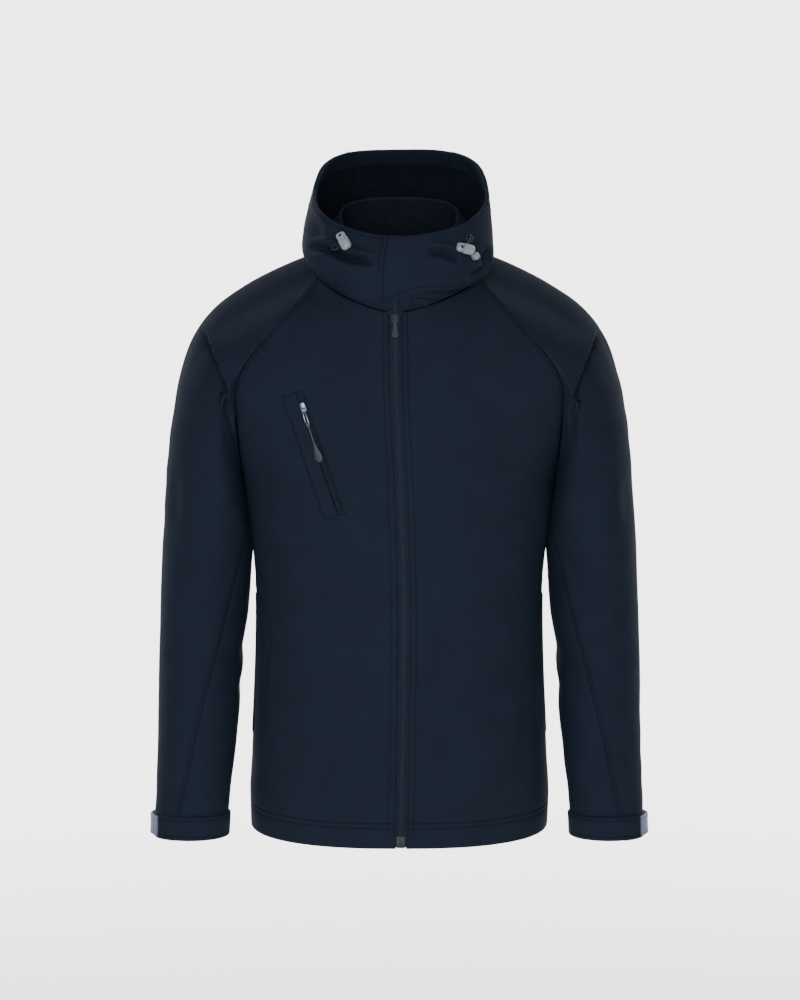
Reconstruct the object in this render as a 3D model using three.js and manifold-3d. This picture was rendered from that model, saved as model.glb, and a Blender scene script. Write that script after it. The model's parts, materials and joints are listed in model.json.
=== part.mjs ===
// A men's softshell jacket with raglan sleeves, a stand collar and a dropped hood, filled out as worn.
// Millimetres, +Z up. The front faces -Y, and the wearer's left is +X.
// The origin lies in the neck opening, level with the points where the shoulders meet the neck.
import * as THREE from "three";
import Module from "manifold-3d";

const wasm = await Module();
wasm.setup();
const { CrossSection, Manifold } = wasm;

// Cloth and seams
const SHELL = 2; // softshell with its fleece back
const COLLAR_CLOTH = 3.6; // two layers of softshell
const HEM_EXTRA = 1.6; // the hem is turned up once
const HEM_HEIGHT = 34;
const SEAM_GAP = 0.3;
const LAY_GAP = 0.4; // what lies on a panel stays this clear of it

// Centre zip
const ZIP_HALF = 6.4;
const ZIP_THICK = 1.8;

// Levels run up a body panel: 0 is the hem, 1 the underarm and 2 the neckline.
const HEM = 0;
const UNDERARM = 1;
const NECK = 2;
const HEM_STEPS = 8;
const CHEST_STEPS = 10;
const HALF_STEPS = 10;

// Angles run round an armhole: 0 is the shoulder's neck point, 180 the underarm, in degrees.
const UNDERARM_ANGLE = 180;
const NECK_ANGLE = 35; // where a raglan seam meets the neckline

// The middle of the front, from hem to neck
const FRONT_CENTRE = [
  { level: 0, y: -138, z: -709 },
  { level: 0.21, y: -134, z: -615 },
  { level: 0.47, y: -127, z: -499 },
  { level: 0.61, y: -127, z: -437 },
  { level: 0.81, y: -133, z: -348 },
  { level: 1, y: -136, z: -262 },
  { level: 1.36, y: -131, z: -196 },
  { level: 1.59, y: -124, z: -145 },
  { level: 1.8, y: -114, z: -98 },
  { level: 2, y: -102, z: -51 },
];

// The middle of the back, from hem to nape
const BACK_CENTRE = [
  { level: 0, y: 128, z: -704 },
  { level: 0.21, y: 119, z: -612 },
  { level: 0.47, y: 96, z: -498 },
  { level: 0.61, y: 92, z: -437 },
  { level: 0.81, y: 101, z: -348 },
  { level: 1, y: 112, z: -262 },
  { level: 1.36, y: 116, z: -186 },
  { level: 1.59, y: 112, z: -120 },
  { level: 1.8, y: 101, z: -45 },
  { level: 2, y: 84, z: 30 },
];

// The side seam, from hem to underarm
const SIDE = [
  { level: 0, x: 190, y: 4, z: -703 },
  { level: 0.1, x: 191, y: 4, z: -659 },
  { level: 0.21, x: 188.5, y: 4, z: -612 },
  { level: 0.34, x: 185.5, y: 4, z: -554 },
  { level: 0.47, x: 183, y: 4, z: -498 },
  { level: 0.61, x: 181.5, y: 4, z: -437 },
  { level: 0.7, x: 182, y: 4, z: -397 },
  { level: 0.81, x: 186, y: 4, z: -348 },
  { level: 0.92, x: 192, y: 4, z: -298 },
  { level: 1, x: 197, y: 4, z: -262 },
];

// The raglan seams, from the neckline down to the underarm
const FRONT_SEAM = [
  { angle: 35, x: 100, y: -45, z: -8 },
  { angle: 57, x: 128, y: -78, z: -42 },
  { angle: 80, x: 160, y: -92, z: -78 },
  { angle: 95, x: 184, y: -94, z: -107 },
  { angle: 110, x: 201, y: -87, z: -140 },
  { angle: 128, x: 202, y: -69, z: -184 },
  { angle: 150, x: 199.5, y: -38, z: -230 },
  { angle: 180, x: 197, y: 4, z: -262 },
];
const BACK_SEAM = [
  { angle: 35, x: 84, y: 60, z: 20 },
  { angle: 57, x: 122, y: 88, z: -30 },
  { angle: 80, x: 160, y: 100, z: -80 },
  { angle: 95, x: 183, y: 98, z: -114 },
  { angle: 110, x: 198, y: 88, z: -150 },
  { angle: 128, x: 201, y: 68, z: -194 },
  { angle: 150, x: 199, y: 40, z: -235 },
  { angle: 180, x: 197, y: 4, z: -262 },
];

// The neckline across the top of one sleeve, from the back seam (-35) to the front seam (35)
const SHOULDER_NECK = [
  { angle: -35, x: 84, y: 60, z: 20 },
  { angle: -17, x: 100, y: 36, z: 25 },
  { angle: 0, x: 106, y: 6, z: 22 },
  { angle: 17, x: 105, y: -20, z: 10 },
  { angle: 35, x: 100, y: -45, z: -8 },
];

// How far a row has turned where it meets its seam, how square it is, and how its height rises
const ROW_SHAPE = [
  { level: 0, turn: 90, square: 2.35, rise: 2 },
  { level: 0.8, turn: 90, square: 2.3, rise: 2 },
  { level: 1, turn: 89, square: 2.3, rise: 2 },
  { level: 1.2, turn: 80, square: 2.2, rise: 2 },
  { level: 1.5, turn: 62, square: 2.05, rise: 1.9 },
  { level: 2, turn: 66, square: 2, rise: 1.3 },
];

// Where the centre zip runs: it wanders a little to either side
const ZIP_LINE = [
  { level: 0, x: 2 },
  { level: 0.3, x: 4.5 },
  { level: 0.66, x: 6 },
  { level: 0.85, x: 4 },
  { level: 1.15, x: 0.5 },
  { level: 1.6, x: -3.5 },
  { level: 2, x: -5 },
];

// A sleeve's stations from the neck to the cuff: its outer and inner lines as seen from the front,
// the middle of its depth and half that depth
const SLEEVE = [
  { at: 0, outX: 106, outZ: 22, inX: 197, inZ: -262, y: 5, deep: 96 },
  { at: 1, outX: 150, outZ: 4, inX: 197.5, inZ: -276, y: 5, deep: 95 },
  { at: 2, outX: 195, outZ: -19, inX: 197.2, inZ: -290, y: 4, deep: 92 },
  { at: 3, outX: 233, outZ: -46, inX: 196.4, inZ: -306, y: 3, deep: 88 },
  { at: 4, outX: 260, outZ: -82, inX: 195, inZ: -324, y: 2, deep: 84 },
  { at: 5, outX: 276.5, outZ: -128, inX: 193.4, inZ: -345, y: 1, deep: 80 },
  { at: 6, outX: 287, outZ: -181, inX: 192, inZ: -371, y: 0, deep: 77 },
  { at: 7, outX: 294, outZ: -244, inX: 191.6, inZ: -400, y: -1, deep: 74 },
  { at: 8, outX: 299, outZ: -320, inX: 192.5, inZ: -436, y: -3, deep: 71 },
  { at: 9, outX: 303, outZ: -400, inX: 195.5, inZ: -478, y: -6, deep: 67 },
  { at: 10, outX: 305, outZ: -475, inX: 199.5, inZ: -522, y: -10, deep: 62 },
  { at: 11, outX: 306.5, outZ: -548, inX: 204.5, inZ: -568, y: -15, deep: 56 },
  { at: 12, outX: 308, outZ: -615, inX: 210.5, inZ: -622, y: -20, deep: 49 },
  { at: 13, outX: 310, outZ: -676, inX: 216.5, inZ: -676, y: -24, deep: 42 },
  { at: 14, outX: 311, outZ: -716, inX: 219, inZ: -716, y: -26, deep: 38 },
];
const SLEEVE_END = 14;
const SEAM_FADE = 5.5; // stations over which the raglan seam's outline fades into round sections

// The seams along a sleeve, between its top piece and its under piece, as ring angles
const SLEEVE_SEAM = [
  { at: 0, front: 165.5, back: 194.5 },
  { at: 4, front: 157, back: 198 },
  { at: 7, front: 138, back: 206 },
  { at: 9, front: 121, back: 214 },
  { at: 11, front: 98, back: 228 },
  { at: 12.5, front: 82, back: 238 },
  { at: 14, front: 66, back: 246 },
];

// The hood, from its seam on the neckline (0) to its rim (4). It is pushed back, so that its crown
// hangs as a bag behind the nape. Each loop is given at its front, its side and its back.
const HOOD = [
  {
    at: 0, frontY: -102, frontZ: -51, sideX: 106, sideY: 6, sideZ: 22,
    backY: 84, backZ: 30, backRise: 1, lean: 0,
  },
  {
    at: 1, frontY: -113, frontZ: -22, sideX: 118.5, sideY: 8, sideZ: 32,
    backY: 124, backZ: 4, backRise: 2.6, lean: -2.5,
  },
  {
    at: 2, frontY: -112, frontZ: 5, sideX: 118, sideY: 10, sideZ: 52,
    backY: 163, backZ: 14, backRise: 2.2, lean: -2,
  },
  {
    at: 3, frontY: -105, frontZ: 26, sideX: 114, sideY: 8, sideZ: 80,
    backY: 158, backZ: 96, backRise: 1, lean: 0,
  },
  {
    at: 4, frontY: -98, frontZ: 41, sideX: 109, sideY: 2, sideZ: 104,
    backY: 101, backZ: 161, backRise: 0.8, lean: 2,
  },
];
const HOOD_RIM = 4;
const HOOD_CURVE = { frontX: 1.15, frontY: 0.6, backX: 0.54, backY: 1.05, frontRise: 0.8 };
const HOOD_CENTRE_HALF = 0.4; // how far across the back its centre panel reaches

// The stand collar inside the hood: its top edge at front, side and back
const COLLAR_TOP = {
  frontY: -84, frontZ: 30, sideX: 75, sideY: 2, sideZ: 72, backY: 66, backZ: 93, backRise: 0.8,
};
const COLLAR_CURVE = { frontX: 1, frontY: 0.9, backX: 0.75, backY: 0.9, frontRise: 0.8 };

// The lower edge of the flap that closes over the hood's front, as hood heights by azimuth
const FLAP_EDGE = [
  { turn: -13, at: 0.32 },
  { turn: 5, at: 0.66 },
  { turn: 17, at: 0.86 },
  { turn: 40, at: 0.62 },
  { turn: 60, at: 0.34 },
  { turn: 78, at: 0.18 },
];
const FLAP_CLOTH = 2.4;

// Small maths
const radians = (degrees) => (degrees * Math.PI) / 180;
const mix = (a, b, share) => a + (b - a) * share;
const clamp01 = (value) => Math.min(1, Math.max(0, value));
const smooth = (value) => clamp01(value) ** 2 * (3 - 2 * clamp01(value));
const point = (x, y, z) => new THREE.Vector3(x, y, z);
const steps = (from, to, count) =>
  Array.from({ length: count + 1 }, (_, i) => mix(from, to, i / count));

// A smooth curve through one column of a table, read by another column.
function read(table, by, column, at) {
  let i = 0;
  while (i < table.length - 2 && at > table[i + 1][by]) i += 1;
  const slope = (k) => {
    const before = table[Math.max(0, k - 1)];
    const after = table[Math.min(table.length - 1, k + 1)];
    return (after[column] - before[column]) / (after[by] - before[by]);
  };
  const from = table[i];
  const to = table[i + 1];
  const width = to[by] - from[by];
  const s = clamp01((at - from[by]) / width);
  const bend = s * (1 - s) * width;
  return (
    mix(from[column], to[column], s * s * (3 - 2 * s)) +
    bend * ((1 - s) * slope(i) - s * slope(i + 1))
  );
}

// A point from a table's x, y and z columns.
const readPoint = (table, by, at) =>
  point(...["x", "y", "z"].map((column) => read(table, by, column, at)));

// The seam angle that a level above the underarm stands for, and back.
const seamAngle = (level) => mix(UNDERARM_ANGLE, NECK_ANGLE, level - UNDERARM);

// Where a panel's row ends: on the side seam below the underarm, on the raglan seam above it.
function rowEnd(seam, level) {
  if (level <= UNDERARM) return readPoint(SIDE, "level", level);
  return readPoint(seam, "angle", seamAngle(level));
}

// A point of a body panel: across runs from the centre (0) to the seam (1).
function panelPoint(centre, end, shape, across) {
  const turn = radians(shape.turn);
  const power = 2 / shape.square;
  const out = (Math.sin(across * turn) / Math.sin(turn)) ** power;
  const left = (Math.cos(across * turn) - Math.cos(turn)) / (1 - Math.cos(turn));
  const back = 1 - clamp01(left) ** power;
  return point(
    mix(centre.x, end.x, out),
    mix(centre.y, end.y, back),
    mix(centre.z, end.z, across ** shape.rise),
  );
}

const rowShape = (level) => ({
  turn: read(ROW_SHAPE, "level", "turn", level),
  square: read(ROW_SHAPE, "level", "square", level),
  rise: read(ROW_SHAPE, "level", "rise", level),
});

const zipX = (level) => read(ZIP_LINE, "level", "x", level);

// The front on one side (1 is the wearer's left), from the zip's edge to the seam.
function frontPoint(side, across, level) {
  const centre = point(
    zipX(level) + side * ZIP_HALF,
    read(FRONT_CENTRE, "level", "y", level),
    read(FRONT_CENTRE, "level", "z", level),
  );
  const end = rowEnd(FRONT_SEAM, level);
  end.x *= side;
  return panelPoint(centre, end, rowShape(level), across);
}

// The back, from one seam (-1) to the other (1).
function backPoint(across, level) {
  const side = across < 0 ? -1 : 1;
  const centre = point(
    0,
    read(BACK_CENTRE, "level", "y", level),
    read(BACK_CENTRE, "level", "z", level),
  );
  const end = rowEnd(BACK_SEAM, level);
  end.x *= side;
  return panelPoint(centre, end, rowShape(level), Math.abs(across));
}

// The closed loop on which a sleeve is set in: both raglan seams and the neckline between them.
function armholePoint(angle) {
  const turned = angle > UNDERARM_ANGLE ? angle - 360 : angle;
  if (Math.abs(turned) <= NECK_ANGLE) return readPoint(SHOULDER_NECK, "angle", turned);
  return readPoint(turned > 0 ? FRONT_SEAM : BACK_SEAM, "angle", Math.abs(turned));
}

// A plain oval ring round the arm at a station.
function armRing(angle, at) {
  const of = (column) => read(SLEEVE, "at", column, at);
  const share = (1 + Math.cos(radians(angle))) / 2;
  return point(
    mix(of("inX"), of("outX"), share),
    of("y") - of("deep") * Math.sin(radians(angle)),
    mix(of("inZ"), of("outZ"), share),
  );
}

// The crease where the arm hangs from under the shoulder: it runs round from the outer line
// to the raglan seams, and the arm side of it is drawn in.
const CREASE = { station: 3.7, reach: 112, depth: 6.5, ridge: 2.2, width: 0.75 };

function creaseDepth(angle, at) {
  const turned = Math.abs(angle > UNDERARM_ANGLE ? angle - 360 : angle);
  const line = CREASE.station * (1 - smooth(turned / CREASE.reach) ** 0.8);
  const past = at - line;
  const strength = smooth(turned / 25) * (1 - smooth((turned - 85) / 30));
  if (past < 0) return CREASE.ridge * strength * Math.exp(past / CREASE.width);
  return -CREASE.depth * strength * Math.exp(-past / CREASE.width) * smooth(past / 0.35);
}

// Soft elbow folds on the inner side of the arm
const ELBOW_FOLDS = [
  { at: 9.15, angle: 172, depth: 5, wide: 0.42, long: 62 },
  { at: 9.95, angle: 190, depth: 3.5, wide: 0.4, long: 50 },
  { at: 8.3, angle: 205, depth: 3, wide: 0.45, long: 55 },
];

function elbowDepth(angle, at) {
  return ELBOW_FOLDS.reduce((sum, fold) => {
    const along = (at - fold.at - (fold.angle - angle) / 110) / fold.wide;
    const round = (angle - fold.angle) / fold.long;
    return sum - fold.depth * Math.exp(-(along ** 2) - round ** 2);
  }, 0);
}

// A point of the sleeve on one side, moved out by lift.
function sleevePoint(side, angle, at, lift = 0) {
  const fade = 1 - smooth(at / SEAM_FADE);
  const p = armRing(angle, at);
  p.addScaledVector(armholePoint(angle).sub(armRing(angle, 0)), fade);
  const out = lift + creaseDepth(angle, at) * smooth(at / 0.6) + elbowDepth(angle, at);
  const middle = armRing(0, at).add(armRing(180, at)).multiplyScalar(0.5);
  const away = p.clone().sub(middle).normalize();
  p.addScaledVector(away, out);
  p.x *= side;
  return p;
}

// Grids of points and the walls made from them
function makeGrid(rows, columns, pointAt) {
  return rows.map((row) => columns.map((column) => pointAt(column, row)));
}

// A mesh's triangles as a geometry, turned to face out.
function solidGeometry(points, faces) {
  const volume = faces.reduce((sum, [a, b, c]) => {
    const across = points[b].clone().cross(points[c]);
    return sum + points[a].dot(across);
  }, 0);
  const outward = volume < 0 ? faces.map(([a, b, c]) => [a, c, b]) : faces;
  const geometry = new THREE.BufferGeometry();
  geometry.setFromPoints(points);
  geometry.setIndex(outward.flat());
  return geometry;
}

// A cloth wall: the grid is its outer face, and the inner face lies a thickness behind it.
function wall(grid, normals, thickness) {
  const rows = grid.length;
  const columns = grid[0].length;
  const thick = typeof thickness === "function" ? thickness : () => thickness;
  const outer = grid.flat();
  const inner = grid.flatMap((row, j) =>
    row.map((p, i) => p.clone().addScaledVector(normals[j][i], -thick(j, i))),
  );
  const points = [...outer, ...inner];
  const behind = rows * columns;
  const faces = [];
  const quad = (a, b, c, d) => faces.push([a, b, c], [a, c, d]);
  for (let j = 0; j < rows - 1; j += 1) {
    for (let i = 0; i < columns - 1; i += 1) {
      const [a, b] = [j * columns + i, j * columns + i + 1];
      const [c, d] = [b + columns, a + columns];
      quad(a, b, c, d);
      quad(behind + a, behind + d, behind + c, behind + b);
    }
  }
  const top = (rows - 1) * columns;
  for (let i = 0; i < columns - 1; i += 1) {
    const next = i + 1;
    quad(i, behind + i, behind + next, next);
    quad(top + i, top + next, behind + top + next, behind + top + i);
  }
  for (let j = 0; j < rows - 1; j += 1) {
    const [a, b] = [j * columns, (j + 1) * columns];
    const [c, d] = [a + columns - 1, b + columns - 1];
    quad(a, b, behind + b, behind + a);
    quad(c, behind + c, behind + d, d);
  }
  return solidGeometry(points, faces);
}

// Draws a grid's edge back from its seam by half the seam gap. Edges: left, right, bottom, top.
function trim(grid, edges, gap = SEAM_GAP / 2) {
  const last = grid[0].length - 1;
  const draw = (p, toward) =>
    p.addScaledVector(toward.clone().sub(p).normalize(), gap);
  grid.forEach((row) => {
    if (edges.includes("left")) draw(row[0], row[1]);
    if (edges.includes("right")) draw(row[last], row[last - 1]);
  });
  const end = grid.length - 1;
  grid[0].forEach((p, i) => edges.includes("bottom") && draw(p, grid[1][i]));
  grid[end].forEach((p, i) => edges.includes("top") && draw(p, grid[end - 1][i]));
}

// Materials
const softshell = new THREE.MeshStandardMaterial({ color: 0x1b232e, roughness: 0.85 });
const innerCloth = new THREE.MeshStandardMaterial({ color: 0x0d131b, roughness: 0.95 });
const zipPlastic = new THREE.MeshStandardMaterial({ color: 0x1a212c, roughness: 0.6 });
const pullRubber = new THREE.MeshStandardMaterial({ color: 0x2b333f, roughness: 0.5 });
const zipMetal = new THREE.MeshStandardMaterial({ color: 0x9aa3b2, roughness: 0.35, metalness: 0.9 });
const lockPlastic = new THREE.MeshStandardMaterial({ color: 0x898e95, roughness: 0.45 });
const tabRubber = new THREE.MeshStandardMaterial({ color: 0x78819a, roughness: 0.55 });
const elastic = new THREE.MeshStandardMaterial({ color: 0x12161d, roughness: 0.8 });

const jacket = new THREE.Group();

function add(name, geometry, material) {
  const mesh = new THREE.Mesh(geometry, material);
  mesh.name = name;
  jacket.add(mesh);
  return mesh;
}

// The unit normal of a surface of two numbers, by small differences; facing is 1 or -1.
const NUDGE = 0.002;
function surfaceNormal(surface, u, v, facing, spanU = 1) {
  const du = surface(u + NUDGE * spanU, v).sub(surface(u - NUDGE * spanU, v));
  const dv = surface(u, v + NUDGE).sub(surface(u, v - NUDGE));
  return du.cross(dv).normalize().multiplyScalar(facing);
}

// A cloth piece before it is closed: its outer grid and the normals on it.
function makePiece(name, rows, columns, pointAt, normalAt) {
  return {
    name,
    grid: makeGrid(rows, columns, pointAt),
    normals: makeGrid(rows, columns, normalAt),
  };
}

// Gives pieces that meet at a seam one normal there, so that their inner faces meet too.
function shareNormals(pieces) {
  const key = (p) => [p.x, p.y, p.z].map((value) => Math.round(value * 20)).join();
  const sums = new Map();
  const each = (visit) =>
    pieces.forEach(({ grid, normals }) =>
      grid.forEach((row, j) => row.forEach((p, i) => visit(key(p), normals[j][i]))),
    );
  each((at, normal) => sums.set(at, (sums.get(at) ?? point(0, 0, 0)).add(normal)));
  each((at, normal) => normal.copy(sums.get(at)).normalize());
}

// Body panels
const HEM_LEVEL = HEM_HEIGHT / 445;
const LEVELS = [
  HEM,
  HEM_LEVEL,
  HEM_LEVEL + 0.012,
  ...steps(HEM_LEVEL + 0.1, UNDERARM, HEM_STEPS),
  ...steps(UNDERARM, NECK, CHEST_STEPS).slice(1),
];
const SEAM_ANGLES = steps(UNDERARM, NECK, CHEST_STEPS).map(seamAngle);
const panelThickness = (j) => (j < 2 ? SHELL + HEM_EXTRA : SHELL);

// Small steps stay inside the tables, whose curves end at their first and last rows.
const inside = (low, high, value) => Math.min(high, Math.max(low, value));
const bodySurface = (pointAt) => (across, level) =>
  pointAt(across, inside(HEM, NECK, level));

const ACROSS = steps(0, 1, HALF_STEPS);
const [frontRight, frontLeft] = [-1, 1].map((side) => {
  const surface = bodySurface((across, level) =>
    frontPoint(side, inside(0, 1, across), level),
  );
  return makePiece(side < 0 ? "front_right" : "front_left", LEVELS, ACROSS, surface, (u, v) =>
    surfaceNormal(surface, u, v, side),
  );
});
const backSurface = bodySurface((across, level) =>
  backPoint(inside(-1, 1, across), level),
);
const backPanel = makePiece(
  "back",
  LEVELS,
  steps(-1, 1, 2 * HALF_STEPS),
  backSurface,
  (u, v) => surfaceNormal(backSurface, u, v, -1),
);

// Sleeves: the top piece runs over the shoulder from one sleeve seam to the other, and the
// under piece closes the ring. Both start on the armhole.
const STATIONS = [
  ...steps(0, 4, 5),
  ...steps(4, 8, 4).slice(1),
  ...steps(8, 11, 5).slice(1),
  ...steps(11, SLEEVE_END, 3).slice(1),
];
const TOP_ANGLES = SEAM_ANGLES.slice(1);
const LOOP_ANGLES = [
  ...TOP_ANGLES,
  18,
  0,
  -18,
  ...[...TOP_ANGLES].reverse().map((angle) => -angle),
];

// The top piece's columns start on the armhole's points, and its two edges follow the seams.
function topAngle(loopAngle, at) {
  const column = loopAngle >= 0 ? "front" : "back";
  const seam = read(SLEEVE_SEAM, "at", column, at);
  const edge = loopAngle >= 0 ? seam : 360 - seam;
  return loopAngle * (edge / TOP_ANGLES[0]);
}
const UNDER_SHARES = steps(-1, 1, 6);
function underAngle(share, at) {
  const column = share < 0 ? "front" : "back";
  return mix(UNDERARM_ANGLE, read(SLEEVE_SEAM, "at", column, at), Math.abs(share));
}

const sleevePieces = [-1, 1].flatMap((side) => {
  const name = side < 0 ? "right" : "left";
  const surface = (angle, at) =>
    sleevePoint(side, (angle + 360) % 360, inside(0, SLEEVE_END, at));
  const normal = (angle, at) => surfaceNormal(surface, angle, at, side, 100);
  const underSurface = (share, at) => {
    if (at > 0) return surface(underAngle(share, at), at);
    const from = surface(UNDERARM_ANGLE, 0);
    return from.lerp(surface(underAngle(Math.sign(share), 0), 0), Math.abs(share));
  };
  return [
    makePiece(
      `sleeve_${name}_top`,
      STATIONS,
      LOOP_ANGLES,
      (angle, at) => surface(topAngle(angle, at), at),
      (angle, at) => normal(topAngle(angle, at), at),
    ),
    makePiece(`sleeve_${name}_under`, STATIONS, UNDER_SHARES, underSurface, (share, at) =>
      normal(underAngle(share, at), at),
    ),
  ];
});

const bodyPieces = [frontRight, frontLeft, backPanel, ...sleevePieces];
shareNormals(bodyPieces);

// The neckline as a loop of points by azimuth: 0 is the front, 90 the wearer's left.
const NECK_SIDE = HOOD[0];
function azimuth(p) {
  const depth = p.y < NECK_SIDE.sideY ? NECK_SIDE.frontY : NECK_SIDE.backY;
  const forward = (p.y - NECK_SIDE.sideY) / Math.abs(depth - NECK_SIDE.sideY);
  return (Math.atan2(p.x / NECK_SIDE.sideX, -forward) * 180) / Math.PI;
}
const NECK_STEPS = [18, 0, -18];
const neckSide = (side) => [
  ...ACROSS.map((across) => frontPoint(side, across, NECK)),
  ...NECK_STEPS.map((angle) => {
    const p = armholePoint(angle);
    p.x *= side;
    return p;
  }),
  ...[...ACROSS]
    .reverse()
    .filter((across) => across >= HOOD_CENTRE_HALF)
    .map((across) => backPoint(side * across, NECK)),
];
const neckBack = ACROSS.filter((across) => across <= HOOD_CENTRE_HALF).flatMap((across) =>
  across ? [backPoint(-across, NECK), backPoint(across, NECK)] : [backPoint(0, NECK)],
);
neckBack.sort((a, b) => b.x - a.x);
const NECK_LOOP = [...neckSide(-1), ...neckSide(1), ...neckBack]
  .map((p) => ({ turn: azimuth(p), x: p.x, y: p.y, z: p.z }))
  .sort((a, b) => a.turn - b.turn)
  .filter((row, i, rows) => !i || row.turn - rows[i - 1].turn > 0.01);

// A point of the neckline between its two nearest loop points.
function neckPoint(turn) {
  const wrapped = ((((turn + 180) % 360) + 360) % 360) - 180;
  const after = NECK_LOOP.findIndex((row) => row.turn >= wrapped);
  const count = NECK_LOOP.length;
  const to = NECK_LOOP[after < 0 ? 0 : after];
  const from = NECK_LOOP[(Math.max(after, 0) - 1 + count) % count];
  const gap = (to.turn - from.turn + 360) % 360;
  const share = 1 - ((to.turn - wrapped + 360) % 360) / gap;
  return point(mix(from.x, to.x, share), mix(from.y, to.y, share), mix(from.z, to.z, share));
}

// A loop round the neck, from its front, side and back.
function neckOval(loop, curve, turn) {
  const sine = Math.sin(radians(turn));
  const cosine = Math.cos(radians(turn));
  const front = cosine > 0;
  const reach = Math.abs(cosine);
  const end = front ? [loop.frontY, loop.frontZ] : [loop.backY, loop.backZ];
  const widthPower = mix(
    (curve.frontX + curve.backX) / 2,
    front ? curve.frontX : curve.backX,
    smooth(reach * 2),
  );
  return point(
    Math.sign(sine) * loop.sideX * Math.abs(sine) ** widthPower,
    mix(loop.sideY, end[0], reach ** (front ? curve.frontY : curve.backY)),
    mix(loop.sideZ, end[1], reach ** (front ? curve.frontRise : loop.backRise)),
  );
}

const HOOD_COLUMNS = Object.keys(HOOD[0]).filter((column) => column !== "at");
const SEAM_LIFT = 0.35; // the hood and collar stand this much above the neckline

function hoodPoint(turn, at) {
  const loop = {};
  HOOD_COLUMNS.forEach((column) => {
    loop[column] = read(HOOD, "at", column, at);
  });
  const p = neckOval(loop, HOOD_CURVE, turn);
  const seam = neckPoint(turn).sub(neckOval(HOOD[0], HOOD_CURVE, turn));
  p.addScaledVector(seam, 1 - smooth(at));
  p.z += SEAM_LIFT * (1 - smooth(at));
  p.x += loop.lean;
  return p;
}

const hoodSurface = (turn, at) => hoodPoint(turn, inside(0, HOOD_RIM, at));
const hoodNormal = (turn, at) => surfaceNormal(hoodSurface, turn, at, 1, 400);
const hoodLifted = (turn, at, lift) =>
  hoodSurface(turn, at).addScaledVector(hoodNormal(turn, at), lift);

const HOOD_HEIGHTS = [0, 0.3, 0.7, 1.2, 1.7, 2.2, 2.8, 3.4, 3.66, 3.72, HOOD_RIM];
const HOOD_BAND_ROW = HOOD_HEIGHTS.length - 2;
const hoodThickness = (j) => (j >= HOOD_BAND_ROW ? SHELL + HEM_EXTRA : SHELL);
const hoodTurns = (points) => points.map(azimuth);
const sideTurns = (side) => hoodTurns(neckSide(side));
const backTurns = hoodTurns(neckBack).map((turn) => (turn < 0 ? turn + 360 : turn));
const hoodPieces = [
  makePiece("hood_right", HOOD_HEIGHTS, sideTurns(-1), hoodSurface, hoodNormal),
  makePiece("hood_left", HOOD_HEIGHTS, sideTurns(1), hoodSurface, hoodNormal),
  makePiece("hood_centre", HOOD_HEIGHTS, backTurns, hoodSurface, hoodNormal),
];
shareNormals(hoodPieces);

bodyPieces.slice(0, 2).forEach((piece) => trim(piece.grid, ["right", "top"]));
trim(backPanel.grid, ["left", "right", "top"]);
sleevePieces.forEach((piece) => trim(piece.grid, ["left", "right", "bottom"]));
sleevePieces
  .filter((piece) => piece.name.endsWith("under"))
  .forEach((piece) => trim(piece.grid, ["bottom"], SEAM_GAP));
bodyPieces.forEach((piece) => {
  const thickness = piece.name.startsWith("sleeve") ? SHELL : panelThickness;
  add(piece.name, wall(piece.grid, piece.normals, thickness), softshell);
});
hoodPieces.forEach((piece) => {
  trim(piece.grid, piece.name === "hood_centre" ? ["left", "right"] : ["right"]);
  add(piece.name, wall(piece.grid, piece.normals, hoodThickness), softshell);
});

// The stand collar, whose outer face starts just inside the hood's inner face
const COLLAR_INSET = SHELL + 0.6;
const COLLAR_TURNS = [...sideTurns(-1)].reverse();
const COLLAR_LOOP = [
  ...sideTurns(1),
  ...backTurns.slice(1, -1),
  ...COLLAR_TURNS.map((turn) => turn + 360),
];
function collarPoint(turn, height) {
  const base = neckPoint(turn);
  const level = point(-base.x, NECK_SIDE.sideY - base.y, 0).normalize();
  base.addScaledVector(level, COLLAR_INSET);
  base.z += SEAM_LIFT;
  const top = neckOval(COLLAR_TOP, COLLAR_CURVE, turn);
  const bow = 3 * Math.sin(Math.PI * height);
  return base.lerp(top, height).addScaledVector(level, -bow * height);
}
const collarSurface = (turn, height) => collarPoint(turn, inside(0, 1, height));
const collar = makePiece(
  "collar",
  [0, 0.12, 0.35, 0.6, 0.85, 1],
  COLLAR_LOOP,
  collarSurface,
  (turn, height) => surfaceNormal(collarSurface, turn, height, 1, 400),
);
add("collar", wall(collar.grid, collar.normals, COLLAR_CLOTH), innerCloth);

// The flap that closes over the hood's front from the wearer's left
const FLAP_GAP = 0.9;
const FLAP_LIFT = FLAP_GAP + FLAP_CLOTH;
const flapHeight = (turn, share) =>
  mix(read(FLAP_EDGE, "turn", "at", turn), HOOD_RIM - 0.02, share);
const flap = makePiece(
  "hood_flap",
  steps(0, 1, 8),
  steps(-13, 78, 13),
  (turn, share) => hoodLifted(turn, flapHeight(turn, share), FLAP_LIFT),
  (turn, share) => hoodNormal(turn, flapHeight(turn, share)),
);
add("hood_flap", wall(flap.grid, flap.normals, FLAP_CLOTH), softshell);

// Where a surface passes a given place as seen from the front.
const SOLVE_STEPS = 24;
const SOLVE_NUDGE = 0.001;
function solve(surface, start, spanU, x, z) {
  let [u, v] = start;
  for (let i = 0; i < SOLVE_STEPS; i += 1) {
    const p = surface(u, v);
    const du = surface(u + SOLVE_NUDGE * spanU, v).sub(p).divideScalar(SOLVE_NUDGE * spanU);
    const dv = surface(u, v + SOLVE_NUDGE).sub(p).divideScalar(SOLVE_NUDGE);
    const size = du.x * dv.z - dv.x * du.z;
    u += ((x - p.x) * dv.z - (z - p.z) * dv.x) / size;
    v += ((z - p.z) * du.x - (x - p.x) * du.z) / size;
  }
  return [u, v];
}

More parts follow.
